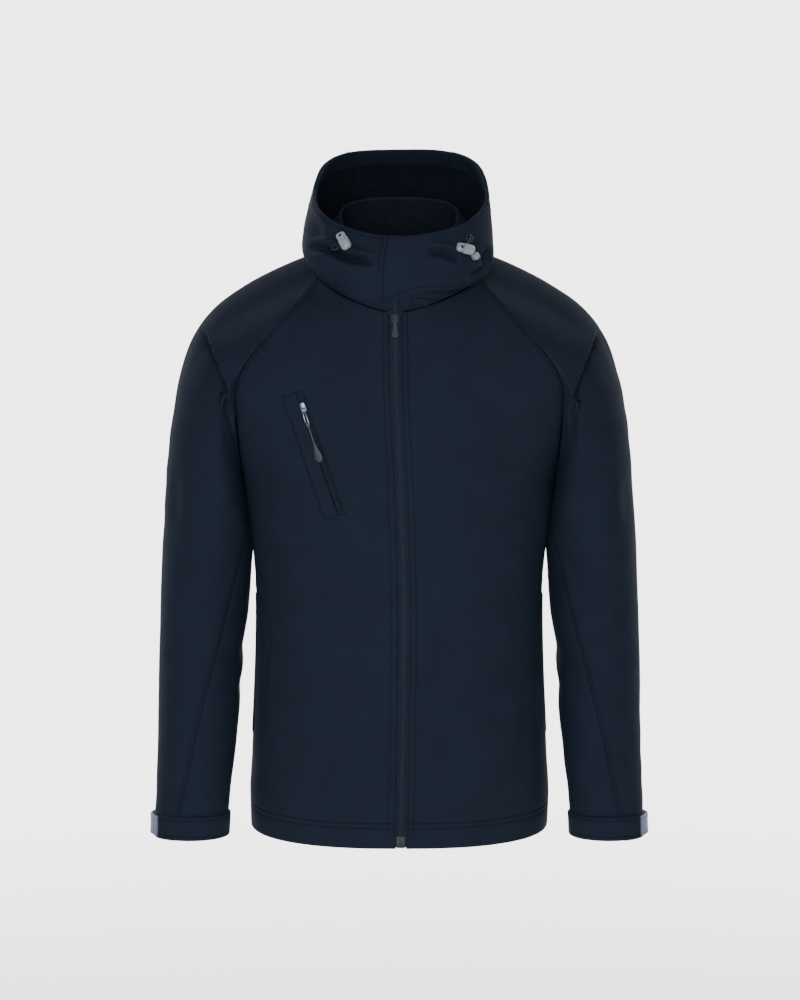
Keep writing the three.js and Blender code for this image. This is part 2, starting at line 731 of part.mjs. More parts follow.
// A point lying on one front, or on the hood's front, and the way it faces.
function onFront(side, x, z, lift = 0) {
  const surface = bodySurface((across, level) => frontPoint(side, across, level));
  const [u, v] = solve(surface, [0.4, 1], 1, x, z);
  const normal = surfaceNormal(surface, u, v, side);
  return { p: surface(u, v).addScaledVector(normal, lift), normal };
}
function onHood(x, z, lift = 0) {
  const [u, v] = solve(hoodSurface, [x / 2, 2], 100, x, z);
  const normal = hoodNormal(u, v);
  return { p: hoodSurface(u, v).addScaledVector(normal, lift), normal };
}

// The frame of what is laid on a place: its own +Y runs along up, and its +Z away from the cloth.
function layBasis(place, up) {
  const across = up.clone().cross(place.normal).normalize();
  const along = place.normal.clone().cross(across).normalize();
  return new THREE.Matrix4().makeBasis(across, along, place.normal).setPosition(place.p);
}

// A flat shape pushed out to a thickness and laid on a place.
function layShape(shape, thickness, place, up, segments = 3) {
  const geometry = new THREE.ExtrudeGeometry(shape, {
    depth: thickness,
    bevelEnabled: false,
    curveSegments: segments,
  });
  return geometry.applyMatrix4(layBasis(place, up));
}

// A shape with rounded corners about its own middle.
function roundedRect(width, height, radius) {
  const [w, h] = [width / 2, height / 2];
  const shape = new THREE.Shape();
  shape.moveTo(-w + radius, -h);
  shape.lineTo(w - radius, -h);
  shape.absarc(w - radius, -h + radius, radius, -Math.PI / 2, 0, false);
  shape.lineTo(w, h - radius);
  shape.absarc(w - radius, h - radius, radius, 0, Math.PI / 2, false);
  shape.lineTo(-w + radius, h);
  shape.absarc(-w + radius, h - radius, radius, Math.PI / 2, Math.PI, false);
  shape.lineTo(-w, -h + radius);
  shape.absarc(-w + radius, -h + radius, radius, Math.PI, 1.5 * Math.PI, false);
  return shape;
}

// The outline of a pull that hangs from its hinge at 0: a narrow neck that widens to a round end.
function pullShape({ neck, neckLength, end, length }) {
  const shape = new THREE.Shape();
  shape.moveTo(-neck / 2, 0);
  shape.lineTo(neck / 2, 0);
  shape.lineTo(neck / 2, -neckLength);
  shape.lineTo(end / 2, -length + end / 2);
  shape.absarc(0, -length + end / 2, end / 2, 0, -Math.PI, true);
  shape.lineTo(-neck / 2, -neckLength);
  return shape;
}

// A slider's hinge: the pull's knuckle turns on a pin between two lugs. Its axis runs along X.
const HINGE = { pin: 0.7, play: 0.2, knuckle: 1.5, lug: 1, side: 0.25, clear: 0.4, root: 0.5 };
const HINGE_SIDES = 20;
const ARC_STEPS = 6;

function rod(radius, length, middle = 0) {
  return Manifold.cylinder(length, radius, radius, HINGE_SIDES, true)
    .rotate([0, 90, 0])
    .translate([middle, 0, 0]);
}

function plate(shape, thickness) {
  const outline = shape.extractPoints(ARC_STEPS).shape.map(({ x, y }) => [x, y]);
  return new CrossSection([outline], "NonZero").extrude(thickness);
}

function layBody(body, place, up) {
  const mesh = body.getMesh();
  const geometry = new THREE.BufferGeometry();
  geometry.setAttribute("position", new THREE.BufferAttribute(mesh.vertProperties, 3));
  geometry.setIndex(new THREE.BufferAttribute(mesh.triVerts, 1));
  return geometry.applyMatrix4(layBasis(place, up));
}

// How high a slider's hinge stands above the slider's underside.
const hingeHeight = (slider) => slider.thickness + HINGE.clear + HINGE.knuckle;

function sliderBody(slider, neck) {
  const outline = roundedRect(slider.width, slider.height, slider.corner);
  const base = plate(outline, slider.thickness).translate([0, slider.rise, -hingeHeight(slider)]);
  const lugX = neck / 2 + HINGE.side + HINGE.lug / 2;
  const lugs = [-lugX, lugX].map((x) => {
    const root = Manifold.cube([HINGE.lug, HINGE.knuckle * 2, HINGE.root], true);
    const foot = -HINGE.knuckle - HINGE.clear - HINGE.root / 2;
    return Manifold.hull([rod(HINGE.knuckle, HINGE.lug, x), root.translate([x, 0, foot])]);
  });
  return Manifold.union([base, ...lugs, rod(HINGE.pin, lugX * 2)]);
}

function pullBody(pull) {
  const blade = plate(pullShape(pull), pull.thickness)
    .translate([0, 0, -pull.thickness / 2])
    .rotate([-pull.tilt, 0, 0]);
  const knuckle = rod(HINGE.knuckle, pull.neck);
  return Manifold.union([blade, knuckle]).subtract(rod(HINGE.pin + HINGE.play, pull.neck * 2));
}

// Centre zip: its tape and coil fill the gap between the fronts, a little behind their faces.
const ZIP_SET = 0.7;
const ZIP_REACH = ZIP_HALF - LAY_GAP;
const ZIP_FOOT = { width: 12, height: 15, thickness: 4, z: -700.8 };
const ZIP_START = 0.036;
const zipPoint = (across, level) => {
  const y = read(FRONT_CENTRE, "level", "y", level) + ZIP_SET;
  const z = read(FRONT_CENTRE, "level", "z", level);
  return point(zipX(level) + across * ZIP_REACH, y, z);
};
const zipLevels = [ZIP_START, ...LEVELS.filter((level) => level > 0.1)];
zipLevels[zipLevels.length - 1] = NECK - 0.01;
const zip = makePiece("zip_front", zipLevels, [-1, 1], zipPoint, (across, level) =>
  surfaceNormal((u, v) => zipPoint(u, inside(HEM, NECK, v)), across, level, 1),
);
add("zip_front", wall(zip.grid, zip.normals, ZIP_THICK), zipPlastic);
const footPlace = { p: zipPoint(0, 0), normal: point(0, -1, 0) };
footPlace.p.z = ZIP_FOOT.z;
footPlace.p.y += ZIP_FOOT.thickness - 1;
add(
  "zip_foot",
  layShape(
    roundedRect(ZIP_FOOT.width, ZIP_FOOT.height, 1.5),
    ZIP_FOOT.thickness,
    footPlace,
    point(0, 0, 1),
  ),
  zipMetal,
);

// The slider near the neck, and its pull hanging on the chest
const SLIDER = { width: 9, height: 11, corner: 2.5, thickness: 3.2, rise: 1.5, z: -60 };
const PULL = { neck: 4.2, neckLength: 5, end: 8.6, length: 24, thickness: 2.2, tilt: 4 };
function zipPlace(z, lift) {
  const [below, top] = FRONT_CENTRE.slice(-2);
  const level = mix(top.level, below.level, (z - top.z) / (below.z - top.z));
  const normal = surfaceNormal((u, v) => zipPoint(u, inside(HEM, NECK, v)), 0, level, 1);
  return { p: zipPoint(0, level).addScaledVector(normal, lift), normal };
}
const pullPlace = zipPlace(SLIDER.z, LAY_GAP + hingeHeight(SLIDER));
const pullUp = point(0, 0, 1);
add("zip_slider", layBody(sliderBody(SLIDER, PULL.neck), pullPlace, pullUp), zipPlastic);
add("zip_pull", layBody(pullBody(PULL), pullPlace, pullUp), pullRubber);

// Chest pocket on the wearer's right: a slanting zip with a welt along its outer side
const POCKET_TOP = { x: -125.6, z: -151.4 };
const POCKET_FOOT = { x: -75.4, z: -295.6 };
const POCKET = { welt: 19, weltCloth: 1.6, zip: 6.2, zipThick: 0.9, over: 5 };
const pocketLength = Math.hypot(POCKET_FOOT.x - POCKET_TOP.x, POCKET_FOOT.z - POCKET_TOP.z);
const pocketDown = {
  x: (POCKET_FOOT.x - POCKET_TOP.x) / pocketLength,
  z: (POCKET_FOOT.z - POCKET_TOP.z) / pocketLength,
};
const pocketOut = { x: pocketDown.z, z: -pocketDown.x };
function onPocket(out, down, lift) {
  const x = POCKET_TOP.x + pocketDown.x * down + pocketOut.x * out;
  const z = POCKET_TOP.z + pocketDown.z * down + pocketOut.z * out;
  return onFront(-1, x, z, lift);
}
function pocketPiece(name, outs, downs, thickness, material) {
  const lift = LAY_GAP + thickness;
  const piece = makePiece(
    name,
    downs,
    outs,
    (out, down) => onPocket(out, down, lift).p,
    (out, down) => onPocket(out, down, lift).normal,
  );
  add(name, wall(piece.grid, piece.normals, thickness), material);
}
const pocketRun = steps(-POCKET.over, pocketLength + POCKET.over, 8);
pocketPiece("pocket_welt", steps(0, POCKET.welt, 2), pocketRun, POCKET.weltCloth, softshell);
pocketPiece(
  "pocket_zip",
  steps(-POCKET.zip - SEAM_GAP, -SEAM_GAP, 1),
  steps(0, pocketLength, 8),
  POCKET.zipThick,
  zipPlastic,
);
const POCKET_SLIDER = { width: 6, height: 12, corner: 2, thickness: 2.6, rise: 2, down: 19 };
const POCKET_PULL = { neck: 2.6, neckLength: 44, end: 10, length: 68, thickness: 2, tilt: 0 };
const pocketUp = point(-pocketDown.x, 0, -pocketDown.z);
const zipMiddle = -SEAM_GAP - POCKET.zip / 2;
const onZip = 2 * LAY_GAP + POCKET.zipThick;
const chestPlace = onPocket(zipMiddle, POCKET_SLIDER.down, onZip + hingeHeight(POCKET_SLIDER));
add(
  "pocket_slider",
  layBody(sliderBody(POCKET_SLIDER, POCKET_PULL.neck), chestPlace, pocketUp),
  zipMetal,
);
add("pocket_pull", layBody(pullBody(POCKET_PULL), chestPlace, pocketUp), pullRubber);

// Hand pockets in the side seams: a narrow welt along the front's edge
const HAND_POCKET = { low: 0.27, high: 0.68, inner: 0.9, outer: 0.965, cloth: 1.4 };
[-1, 1].forEach((side) => {
  const name = side < 0 ? "hand_pocket_right" : "hand_pocket_left";
  const surface = bodySurface((across, level) => frontPoint(side, across, level));
  const normal = (u, v) => surfaceNormal(surface, u, v, side);
  const piece = makePiece(
    name,
    steps(HAND_POCKET.low, HAND_POCKET.high, 8),
    [HAND_POCKET.inner, HAND_POCKET.outer],
    (u, v) => surface(u, v).addScaledVector(normal(u, v), LAY_GAP + HAND_POCKET.cloth),
    normal,
  );
  add(name, wall(piece.grid, piece.normals, HAND_POCKET.cloth), softshell);
});

// Cuff straps round the sleeve ends, and the rubber tabs that close them on the outer side
const CUFF = { low: 13.97, high: 13.2, from: 22, to: 318, cloth: 2, gap: 0.9 };
const CUFF_TAB = { low: 13.92, high: 13.3, from: -52, to: 17, thick: 2.2, flare: 7 };
[-1, 1].forEach((side) => {
  const name = side < 0 ? "right" : "left";
  const surface = (angle, at) => sleevePoint(side, (angle + 360) % 360, inside(0, SLEEVE_END, at));
  const normal = (angle, at) => surfaceNormal(surface, angle, at, side, 100);
  const lifted = (lift) => (angle, at) =>
    surface(angle, at).addScaledVector(normal(angle, at), lift(angle));
  const strap = makePiece(
    "strap",
    [CUFF.high, CUFF.low],
    steps(CUFF.from, CUFF.to, 24),
    lifted(() => CUFF.gap + CUFF.cloth),
    normal,
  );
  add(`cuff_strap_${name}`, wall(strap.grid, strap.normals, CUFF.cloth), softshell);
  const flare = (angle) => CUFF_TAB.flare * smooth((CUFF_TAB.to - angle) / 60);
  const tab = makePiece(
    "tab",
    [CUFF_TAB.high, CUFF_TAB.low],
    steps(CUFF_TAB.to, CUFF_TAB.from, 6),
    lifted((angle) => LAY_GAP + CUFF_TAB.thick + flare(angle)),
    normal,
  );
  add(`cuff_tab_${name}`, wall(tab.grid, tab.normals, CUFF_TAB.thick), tabRubber);
});

// Cord locks, eyelets and the short lengths of cord between them, on the hood's front
const ABOVE_FLAP = FLAP_CLOTH + FLAP_GAP + LAY_GAP;
const LOCKS = [
  { name: "right", x: -65, z: 33, lean: 36, eyeX: -78, eyeZ: 29, base: LAY_GAP },
  { name: "left", x: 75.6, z: 24, lean: 77, eyeX: 84, eyeZ: 38, base: ABOVE_FLAP },
];
const LOCK = { width: 13, height: 24, thickness: 9, stand: 3.6 };
const BUTTON = { size: 8, thickness: 7, x: 86.3, z: 16, lean: 35 };
const EYELET = { outer: 5, hole: 2.4, thickness: 1 };
const CORD = { radius: 1.3, start: 1, arch: 3.6, end: 1.7, sides: 4, steps: 5 };
LOCKS.forEach(({ name, x, z, lean, eyeX, eyeZ, base }) => {
  const place = onHood(x, z, base + LOCK.stand);
  const up = point(0, 0, 1).applyAxisAngle(place.normal, radians(lean));
  const shape = roundedRect(LOCK.width, LOCK.height, LOCK.width / 2 - 0.6);
  add(`cord_lock_${name}`, layShape(shape, LOCK.thickness, place, up), lockPlastic);
  const ring = new THREE.Shape();
  ring.absarc(0, 0, EYELET.outer, 0, 2 * Math.PI, false);
  const hole = new THREE.Path();
  hole.absarc(0, 0, EYELET.hole, 0, 2 * Math.PI, true);
  ring.holes.push(hole);
  const eye = onHood(eyeX, eyeZ, base);
  add(`eyelet_${name}`, layShape(ring, EYELET.thickness, eye, point(0, 0, 1), 5), zipPlastic);
  const between = (share, lift) =>
    onHood(mix(eyeX, x, share), mix(eyeZ, z, share), base + lift).p;
  const path = new THREE.CatmullRomCurve3([
    between(0, CORD.start + EYELET.thickness / 2),
    between(0.22, CORD.arch),
    between(0.6, CORD.end),
  ]);
  const section = new THREE.Shape();
  section.absarc(0, 0, CORD.radius, 0, 2 * Math.PI, false);
  const cord = new THREE.ExtrudeGeometry(section, {
    extrudePath: path,
    steps: CORD.steps,
    curveSegments: CORD.sides,
  });
  add(`cord_${name}`, cord, elastic);
});
const buttonPlace = onHood(BUTTON.x, BUTTON.z, ABOVE_FLAP + LOCK.stand + 1);
const buttonUp = point(0, 0, 1).applyAxisAngle(buttonPlace.normal, radians(BUTTON.lean));
add(
  "cord_lock_left_button",
  layShape(roundedRect(BUTTON.size, BUTTON.size, 1.5), BUTTON.thickness, buttonPlace, buttonUp, 3),
  lockPlastic,
);

// The end of the inner storm tab, which shows below the flap
const STORM_TAB = { width: 22, height: 9, thickness: 1.4, x: 26, z: -38 };
add(
  "storm_tab",
  layShape(
    roundedRect(STORM_TAB.width, STORM_TAB.height, 2),
    STORM_TAB.thickness,
    onHood(STORM_TAB.x, STORM_TAB.z, LAY_GAP * 2),
    point(0.2, 0, 1).normalize(),
  ),
  softshell,
);

export default jacket;
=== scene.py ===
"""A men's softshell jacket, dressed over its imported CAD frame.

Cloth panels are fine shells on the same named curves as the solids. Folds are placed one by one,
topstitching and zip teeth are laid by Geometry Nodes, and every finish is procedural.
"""
import json
import math
from collections import namedtuple

import bmesh
import bpy
import numpy as np
from bpy.props import FloatProperty, PointerProperty, StringProperty
from mathutils import Matrix, Vector


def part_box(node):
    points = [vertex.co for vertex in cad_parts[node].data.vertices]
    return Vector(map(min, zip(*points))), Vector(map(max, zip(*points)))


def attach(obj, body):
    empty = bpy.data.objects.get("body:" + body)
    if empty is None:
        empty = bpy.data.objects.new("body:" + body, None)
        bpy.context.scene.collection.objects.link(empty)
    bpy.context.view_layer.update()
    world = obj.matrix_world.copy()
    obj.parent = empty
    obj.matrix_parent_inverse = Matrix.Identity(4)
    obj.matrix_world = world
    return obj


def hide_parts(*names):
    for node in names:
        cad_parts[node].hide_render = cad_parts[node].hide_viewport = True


bl_info = {
    "name": "Softshell jacket",
    "version": (1, 0, 0),
    "blender": (4, 5, 0),
    "location": "3D View > Sidebar > Jacket",
    "description": "Builds a softshell jacket with raglan sleeves, a collar and a dropped hood",
    "category": "Add Mesh",
}

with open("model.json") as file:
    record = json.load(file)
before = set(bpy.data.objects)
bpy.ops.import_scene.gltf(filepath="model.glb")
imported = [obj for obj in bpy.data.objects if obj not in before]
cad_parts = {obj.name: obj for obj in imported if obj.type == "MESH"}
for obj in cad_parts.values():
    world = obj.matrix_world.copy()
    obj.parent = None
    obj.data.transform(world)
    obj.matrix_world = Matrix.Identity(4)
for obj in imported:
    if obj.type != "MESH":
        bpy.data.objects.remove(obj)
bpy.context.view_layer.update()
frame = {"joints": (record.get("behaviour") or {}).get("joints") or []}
MM = 0.001


# Small maths -------------------------------------------------------------------------------------

def table(columns, *rows):
    """A small table as one array for each named column."""
    return dict(zip(columns.split(), np.array(rows, float).T))


def mix(a, b, share):
    return a + (b - a) * share


def smooth(value):
    """A soft step from 0 to 1."""
    v = np.clip(value, 0, 1)
    return v * v * (3 - 2 * v)


def stack(x, y, z):
    return np.stack(np.broadcast_arrays(x, y, z), axis=-1).astype(float)


def unit(vectors):
    return vectors / np.maximum(np.linalg.norm(vectors, axis=-1, keepdims=True), 1e-9)


def bell(value, width):
    return np.exp(-((value / width) ** 2))


def read(rows, by, column, at):
    """A smooth curve through one column of a table, read by another column."""
    key, value = rows[by], rows[column]
    at = np.asarray(at, float)
    slope = np.empty_like(value)
    slope[1:-1] = (value[2:] - value[:-2]) / (key[2:] - key[:-2])
    slope[0] = (value[1] - value[0]) / (key[1] - key[0])
    slope[-1] = (value[-1] - value[-2]) / (key[-1] - key[-2])
    i = np.clip(np.searchsorted(key, at) - 1, 0, len(key) - 2)
    width = key[i + 1] - key[i]
    s = np.clip((at - key[i]) / width, 0, 1)
    bend = s * (1 - s) * width
    return mix(value[i], value[i + 1], s * s * (3 - 2 * s)) + bend * (
        (1 - s) * slope[i] - s * slope[i + 1]
    )


def read_point(rows, by, at):
    return stack(*(read(rows, by, column, at) for column in "xyz"))


def spaced(start, end, count, crowd=0.55):
    """Numbers from start to end that lie closer together at both ends, where the seams are."""
    t = np.linspace(0, 1, count)
    return mix(start, end, t - crowd * np.sin(2 * math.pi * t) / (2 * math.pi))


# The garment's own curves, in millimetres --------------------------------------------------------
# Levels run up a body panel: 0 is the hem, 1 the underarm and 2 the neckline.

HEM, UNDERARM, NECK = 0, 1, 2
UNDERARM_ANGLE, NECK_ANGLE = 180, 35
ZIP_HALF = 6.4

FRONT_CENTRE = table(
    "level y z",
    (0, -138, -709), (0.21, -134, -615), (0.47, -127, -499), (0.61, -127, -437),
    (0.81, -133, -348), (1, -136, -262), (1.36, -131, -196), (1.59, -124, -145),
    (1.8, -114, -98), (2, -102, -51),
)
BACK_CENTRE = table(
    "level y z",
    (0, 128, -704), (0.21, 119, -612), (0.47, 96, -498), (0.61, 92, -437), (0.81, 101, -348),
    (1, 112, -262), (1.36, 116, -186), (1.59, 112, -120), (1.8, 101, -45), (2, 84, 30),
)
SIDE = table(
    "level x y z",
    (0, 190, 4, -703), (0.1, 191, 4, -659), (0.21, 188.5, 4, -612), (0.34, 185.5, 4, -554),
    (0.47, 183, 4, -498), (0.61, 181.5, 4, -437), (0.7, 182, 4, -397), (0.81, 186, 4, -348),
    (0.92, 192, 4, -298), (1, 197, 4, -262),
)
FRONT_SEAM = table(
    "angle x y z",
    (35, 100, -45, -8), (57, 128, -78, -42), (80, 160, -92, -78), (95, 184, -94, -107),
    (110, 201, -87, -140), (128, 202, -69, -184), (150, 199.5, -38, -230), (180, 197, 4, -262),
)
BACK_SEAM = table(
    "angle x y z",
    (35, 84, 60, 20), (57, 122, 88, -30), (80, 160, 100, -80), (95, 183, 98, -114),
    (110, 198, 88, -150), (128, 201, 68, -194), (150, 199, 40, -235), (180, 197, 4, -262),
)
SHOULDER_NECK = table(
    "angle x y z",
    (-35, 84, 60, 20), (-17, 100, 36, 25), (0, 106, 6, 22), (17, 105, -20, 10),
    (35, 100, -45, -8),
)
ROW_SHAPE = table(
    "level turn square rise",
    (0, 90, 2.35, 2), (0.8, 90, 2.3, 2), (1, 89, 2.3, 2), (1.2, 80, 2.2, 2),
    (1.5, 62, 2.05, 1.9), (2, 66, 2, 1.3),
)
ZIP_LINE = table(
    "level x",
    (0, 2), (0.3, 4.5), (0.66, 6), (0.85, 4), (1.15, 0.5), (1.6, -3.5), (2, -5),
)
SLEEVE = table(
    "at outX outZ inX inZ y deep",
    (0, 106, 22, 197, -262, 5, 96), (1, 150, 4, 196, -276, 5, 95),
    (2, 195, -19, 193.2, -290, 4, 92), (3, 233, -46, 189.5, -306, 3, 88),
    (4, 260, -82, 187.5, -324, 2, 84), (5, 276.5, -128, 185.5, -345, 1, 80),
    (6, 287, -181, 187.6, -371, 0, 77), (7, 294, -244, 189.6, -400, -1, 74),
    (8, 299, -320, 192.5, -436, -3, 71), (9, 303, -400, 195.5, -478, -6, 67),
    (10, 305, -475, 199.5, -522, -10, 62), (11, 306.5, -548, 204.5, -568, -15, 56),
    (12, 308, -615, 210.5, -622, -20, 49), (13, 310, -676, 216.5, -676, -24, 42),
    (14, 311, -716, 219, -716, -26, 38),
)
SLEEVE_END, SEAM_FADE = 14, 5.5
SLEEVE_SEAM = table(
    "at front back",
    (0, 165.5, 194.5), (4, 157, 198), (7, 138, 206), (9, 121, 214), (11, 98, 228),
    (12.5, 82, 238), (14, 66, 246),
)
HOOD = table(
    "at frontY frontZ sideX sideY sideZ backY backZ backRise lean",
    (0, -102, -51, 106, 6, 22, 84, 30, 1, 0),
    (1, -113, -22, 118.5, 8, 32, 124, 4, 2.6, -2.5),
    (2, -112, 5, 118, 10, 52, 163, 14, 2.2, -2),
    (3, -105, 26, 114, 8, 80, 158, 96, 1, 0),
    (4, -98, 41, 109, 2, 103, 101, 157, 0.85, 2),
)
HOOD_RIM = 4
HOOD_CURVE = dict(frontX=1.15, frontY=0.6, backX=0.54, backY=1.05, frontRise=0.8)
HOOD_CENTRE_HALF = 0.4
COLLAR_TOP = dict(
    frontY=-84, frontZ=30, sideX=75, sideY=2, sideZ=72, backY=66, backZ=93, backRise=0.8,
)
COLLAR_CURVE = dict(frontX=1, frontY=0.9, backX=0.75, backY=0.9, frontRise=0.8)
FLAP_EDGE = table(
    "turn at", (-13, 0.32), (5, 0.66), (17, 0.86), (40, 0.62), (60, 0.34), (78, 0.18),
)
SEAM_LIFT = 0.35
ELBOW_FOLDS = table(
    "at angle depth wide long", (9.15, 172, 5, 0.42, 62), (9.95, 190, 3.5, 0.4, 50),
    (8.3, 205, 3, 0.45, 55),
)


def zip_x(level):
    return read(ZIP_LINE, "level", "x", level)


def row_end(seam, level):
    """Where a row ends: on the side seam below the underarm, on the raglan seam above it."""
    angle = mix(UNDERARM_ANGLE, NECK_ANGLE, level - UNDERARM)
    below = (np.asarray(level) <= UNDERARM)[..., None]
    return np.where(below, read_point(SIDE, "level", level), read_point(seam, "angle", angle))


def panel_point(centre, end, level, across):
    """A point of a body panel: across runs from its middle (0) to its seam (1)."""
    turn = np.radians(read(ROW_SHAPE, "level", "turn", level))
    power = 2 / read(ROW_SHAPE, "level", "square", level)
    rise = read(ROW_SHAPE, "level", "rise", level)
    out = (np.sin(across * turn) / np.sin(turn)) ** power
    left = (np.cos(across * turn) - np.cos(turn)) / (1 - np.cos(turn))
    back = 1 - np.clip(left, 0, 1) ** power
    return mix(centre, end, stack(out, back, across**rise))


def front_point(side, across, level):
    """One front, from the zip's edge (0) to its seam (1). Side 1 is the wearer's left."""
    level = np.clip(level, HEM, NECK)
    across = np.clip(across, 0, 1)
    middle = [read(FRONT_CENTRE, "level", column, level) for column in "yz"]
    centre = stack(zip_x(level) + side * ZIP_HALF, *middle)
    return panel_point(centre, row_end(FRONT_SEAM, level) * (side, 1, 1), level, across)


def back_point(across, level):
    """The back, from one seam (-1) to the other (1)."""
    level = np.clip(level, HEM, NECK)
    across = np.clip(across, -1, 1)
    side = np.where(np.asarray(across) < 0, -1.0, 1.0)
    centre = stack(0, *(read(BACK_CENTRE, "level", column, level) for column in "yz"))
    end = row_end(BACK_SEAM, level) * stack(side, 1, 1)
    return panel_point(centre, end, level, np.abs(across))


def armhole_point(angle):
    """The loop on which a sleeve is set in: both raglan seams and the neckline between."""
    turned = np.where(angle > 180, angle - 360, angle)
    size = np.abs(turned)
    seam = np.where(
        (turned > 0)[..., None],
        read_point(FRONT_SEAM, "angle", size),
        read_point(BACK_SEAM, "angle", size),
    )
    return np.where(
        (size <= NECK_ANGLE)[..., None], read_point(SHOULDER_NECK, "angle", turned), seam
    )


def arm_ring(angle, at):
    of = {column: read(SLEEVE, "at", column, at) for column in SLEEVE if column != "at"}
    share = (1 + np.cos(np.radians(angle))) / 2
    return stack(
        mix(of["inX"], of["outX"], share),
        of["y"] - of["deep"] * np.sin(np.radians(angle)),
        mix(of["inZ"], of["outZ"], share),
    )


def elbow_depth(angle, at):
    total = 0
    for fold_at, fold_angle, depth, wide, long in zip(*ELBOW_FOLDS.values()):
        along = (at - fold_at - (fold_angle - angle) / 110) / wide
        total = total - depth * np.exp(-(along**2) - ((angle - fold_angle) / long) ** 2)
    return total


def sleeve_point(side, angle, at):
    angle = np.mod(np.asarray(angle, float), 360)
    at = np.clip(at, 0, SLEEVE_END)
    fade = 1 - smooth(at / SEAM_FADE)
    ring = arm_ring(angle, at)
    p = ring + (armhole_point(angle) - arm_ring(angle, 0 * at)) * fade[..., None]
    out = elbow_depth(angle, at)
    middle = (arm_ring(0 * angle, at) + arm_ring(0 * angle + 180, at)) / 2
    p = p + unit(p - middle) * out[..., None]
    return p * (side, 1, 1)


def azimuth(p):
    """Degrees round the neck: 0 is the front and 90 the wearer's left."""
    side_y, side_x = HOOD["sideY"][0], HOOD["sideX"][0]
    depth = np.where(p[..., 1] < side_y, HOOD["frontY"][0], HOOD["backY"][0])
    forward = (p[..., 1] - side_y) / np.abs(depth - side_y)
    return np.degrees(np.arctan2(p[..., 0] / side_x, -forward))


def neck_loop():
    """The neckline's points in the order of their azimuth."""
    share = np.linspace(0, 1, 60)
    runs = [back_point(np.linspace(-1, 1, 120), NECK * np.ones(120))]
    for side in (-1, 1):
        runs.append(front_point(side, share, NECK * np.ones(60)))
        runs.append(armhole_point(np.linspace(-34, 34, 40)) * (side, 1, 1))
    points = np.concatenate(runs)
    turns = azimuth(points)
    order = np.argsort(turns)
    return turns[order], points[order]


NECK_TURNS, NECK_POINTS = neck_loop()


def zip_turn(side):
    """The azimuth at which a front meets the zip, at the neckline."""
    return float(azimuth(front_point(side, np.array(0.0), np.array(float(NECK)))))


def neck_point(turn):
    return stack(*(np.interp(turn, NECK_TURNS, column, period=360) for column in NECK_POINTS.T))


def neck_oval(loop, curve, turn):
    """A loop round the neck, from its front, its side and its back."""
    sine, cosine = np.sin(np.radians(turn)), np.cos(np.radians(turn))
    reach, front = np.abs(cosine), cosine > 0
    middle_x = (curve["frontX"] + curve["backX"]) / 2
    width = mix(middle_x, np.where(front, curve["frontX"], curve["backX"]), smooth(reach * 2))
    deep = reach ** np.where(front, curve["frontY"], curve["backY"])
    rise = reach ** np.where(front, curve["frontRise"], loop["backRise"])
    return stack(
        np.sign(sine) * loop["sideX"] * np.abs(sine) ** width,
        mix(loop["sideY"], np.where(front, loop["frontY"], loop["backY"]), deep),
        mix(loop["sideZ"], np.where(front, loop["frontZ"], loop["backZ"]), rise),
    )


def hood_point(turn, at):
    turn, at = np.broadcast_arrays(np.asarray(turn, float), np.clip(at, 0, HOOD_RIM))
    loop = {column: read(HOOD, "at", column, at) for column in HOOD if column != "at"}
    base = {column: HOOD[column][0] for column in loop}
    fade = (1 - smooth(at))[..., None]
    p = neck_oval(loop, HOOD_CURVE, turn)
    p = p + (neck_point(turn) - neck_oval(base, HOOD_CURVE, turn)) * fade
    return p + stack(loop["lean"], 0, SEAM_LIFT * fade[..., 0])


def collar_point(turn, height):
    height = np.clip(height, 0, 1)
    base = neck_point(turn)
    level = unit(stack(-base[..., 0], HOOD["sideY"][0] - base[..., 1], 0))
    base = base + level * 2.6 + (0, 0, SEAM_LIFT)
    bow = 3 * np.sin(math.pi * height) * height
    top = neck_oval(COLLAR_TOP, COLLAR_CURVE, turn)
    return mix(base, top, np.asarray(height)[..., None]) - level * np.asarray(bow)[..., None]


def normal_of(surface, u, v, facing, span=1.0):
    """The unit normal of a surface of two numbers, by small differences."""
    step = 0.002
    du = surface(u + step * span, v) - surface(u - step * span, v)
    dv = surface(u, v + step) - surface(u, v - step)
    return unit(np.cross(du, dv)) * facing


# The photograph's view ---------------------------------------------------------------------------
# The camera stands where the photograph was taken from. Folds are placed by what it sees.

VIEW_TARGET = np.array((1.0, 0.0, -290.0))
VIEW_DISTANCE = 3200.0
VIEW_ELEVATION = math.radians(5)
VIEW_AHEAD = np.array((0, math.cos(VIEW_ELEVATION), -math.sin(VIEW_ELEVATION)))
VIEW_UP = np.array((0, math.sin(VIEW_ELEVATION), math.cos(VIEW_ELEVATION)))
VIEW_FROM = VIEW_TARGET - VIEW_AHEAD * VIEW_DISTANCE
VIEW_FOCUS = 2519.7  # the lens, in pixels of the 1000 px high frame
PIXEL = 1.27  # millimetres on the garment


def seen_at(points):
    """Where points show in the photograph's frame, in its pixels."""
    away = points - VIEW_FROM
    depth = away @ VIEW_AHEAD
    x = 400 + VIEW_FOCUS * away[..., 0] / depth
    return np.stack((x, 500 - VIEW_FOCUS * (away @ VIEW_UP) / depth), axis=-1)


Fold = namedtuple("Fold", "face line width depth lip")


def bend_line(line, count=20):
    """A smooth run of points through a few given ones."""
    line = np.array(line, float)
    steps = np.linalg.norm(np.diff(line, axis=0), axis=1)
    key = np.concatenate(([0], np.cumsum(steps)))
    rows = {"s": key, "x": line[:, 0], "y": line[:, 1]}
    at = np.linspace(0, key[-1], count)
    return np.stack((read(rows, "s", "x", at), read(rows, "s", "y", at)), axis=-1)


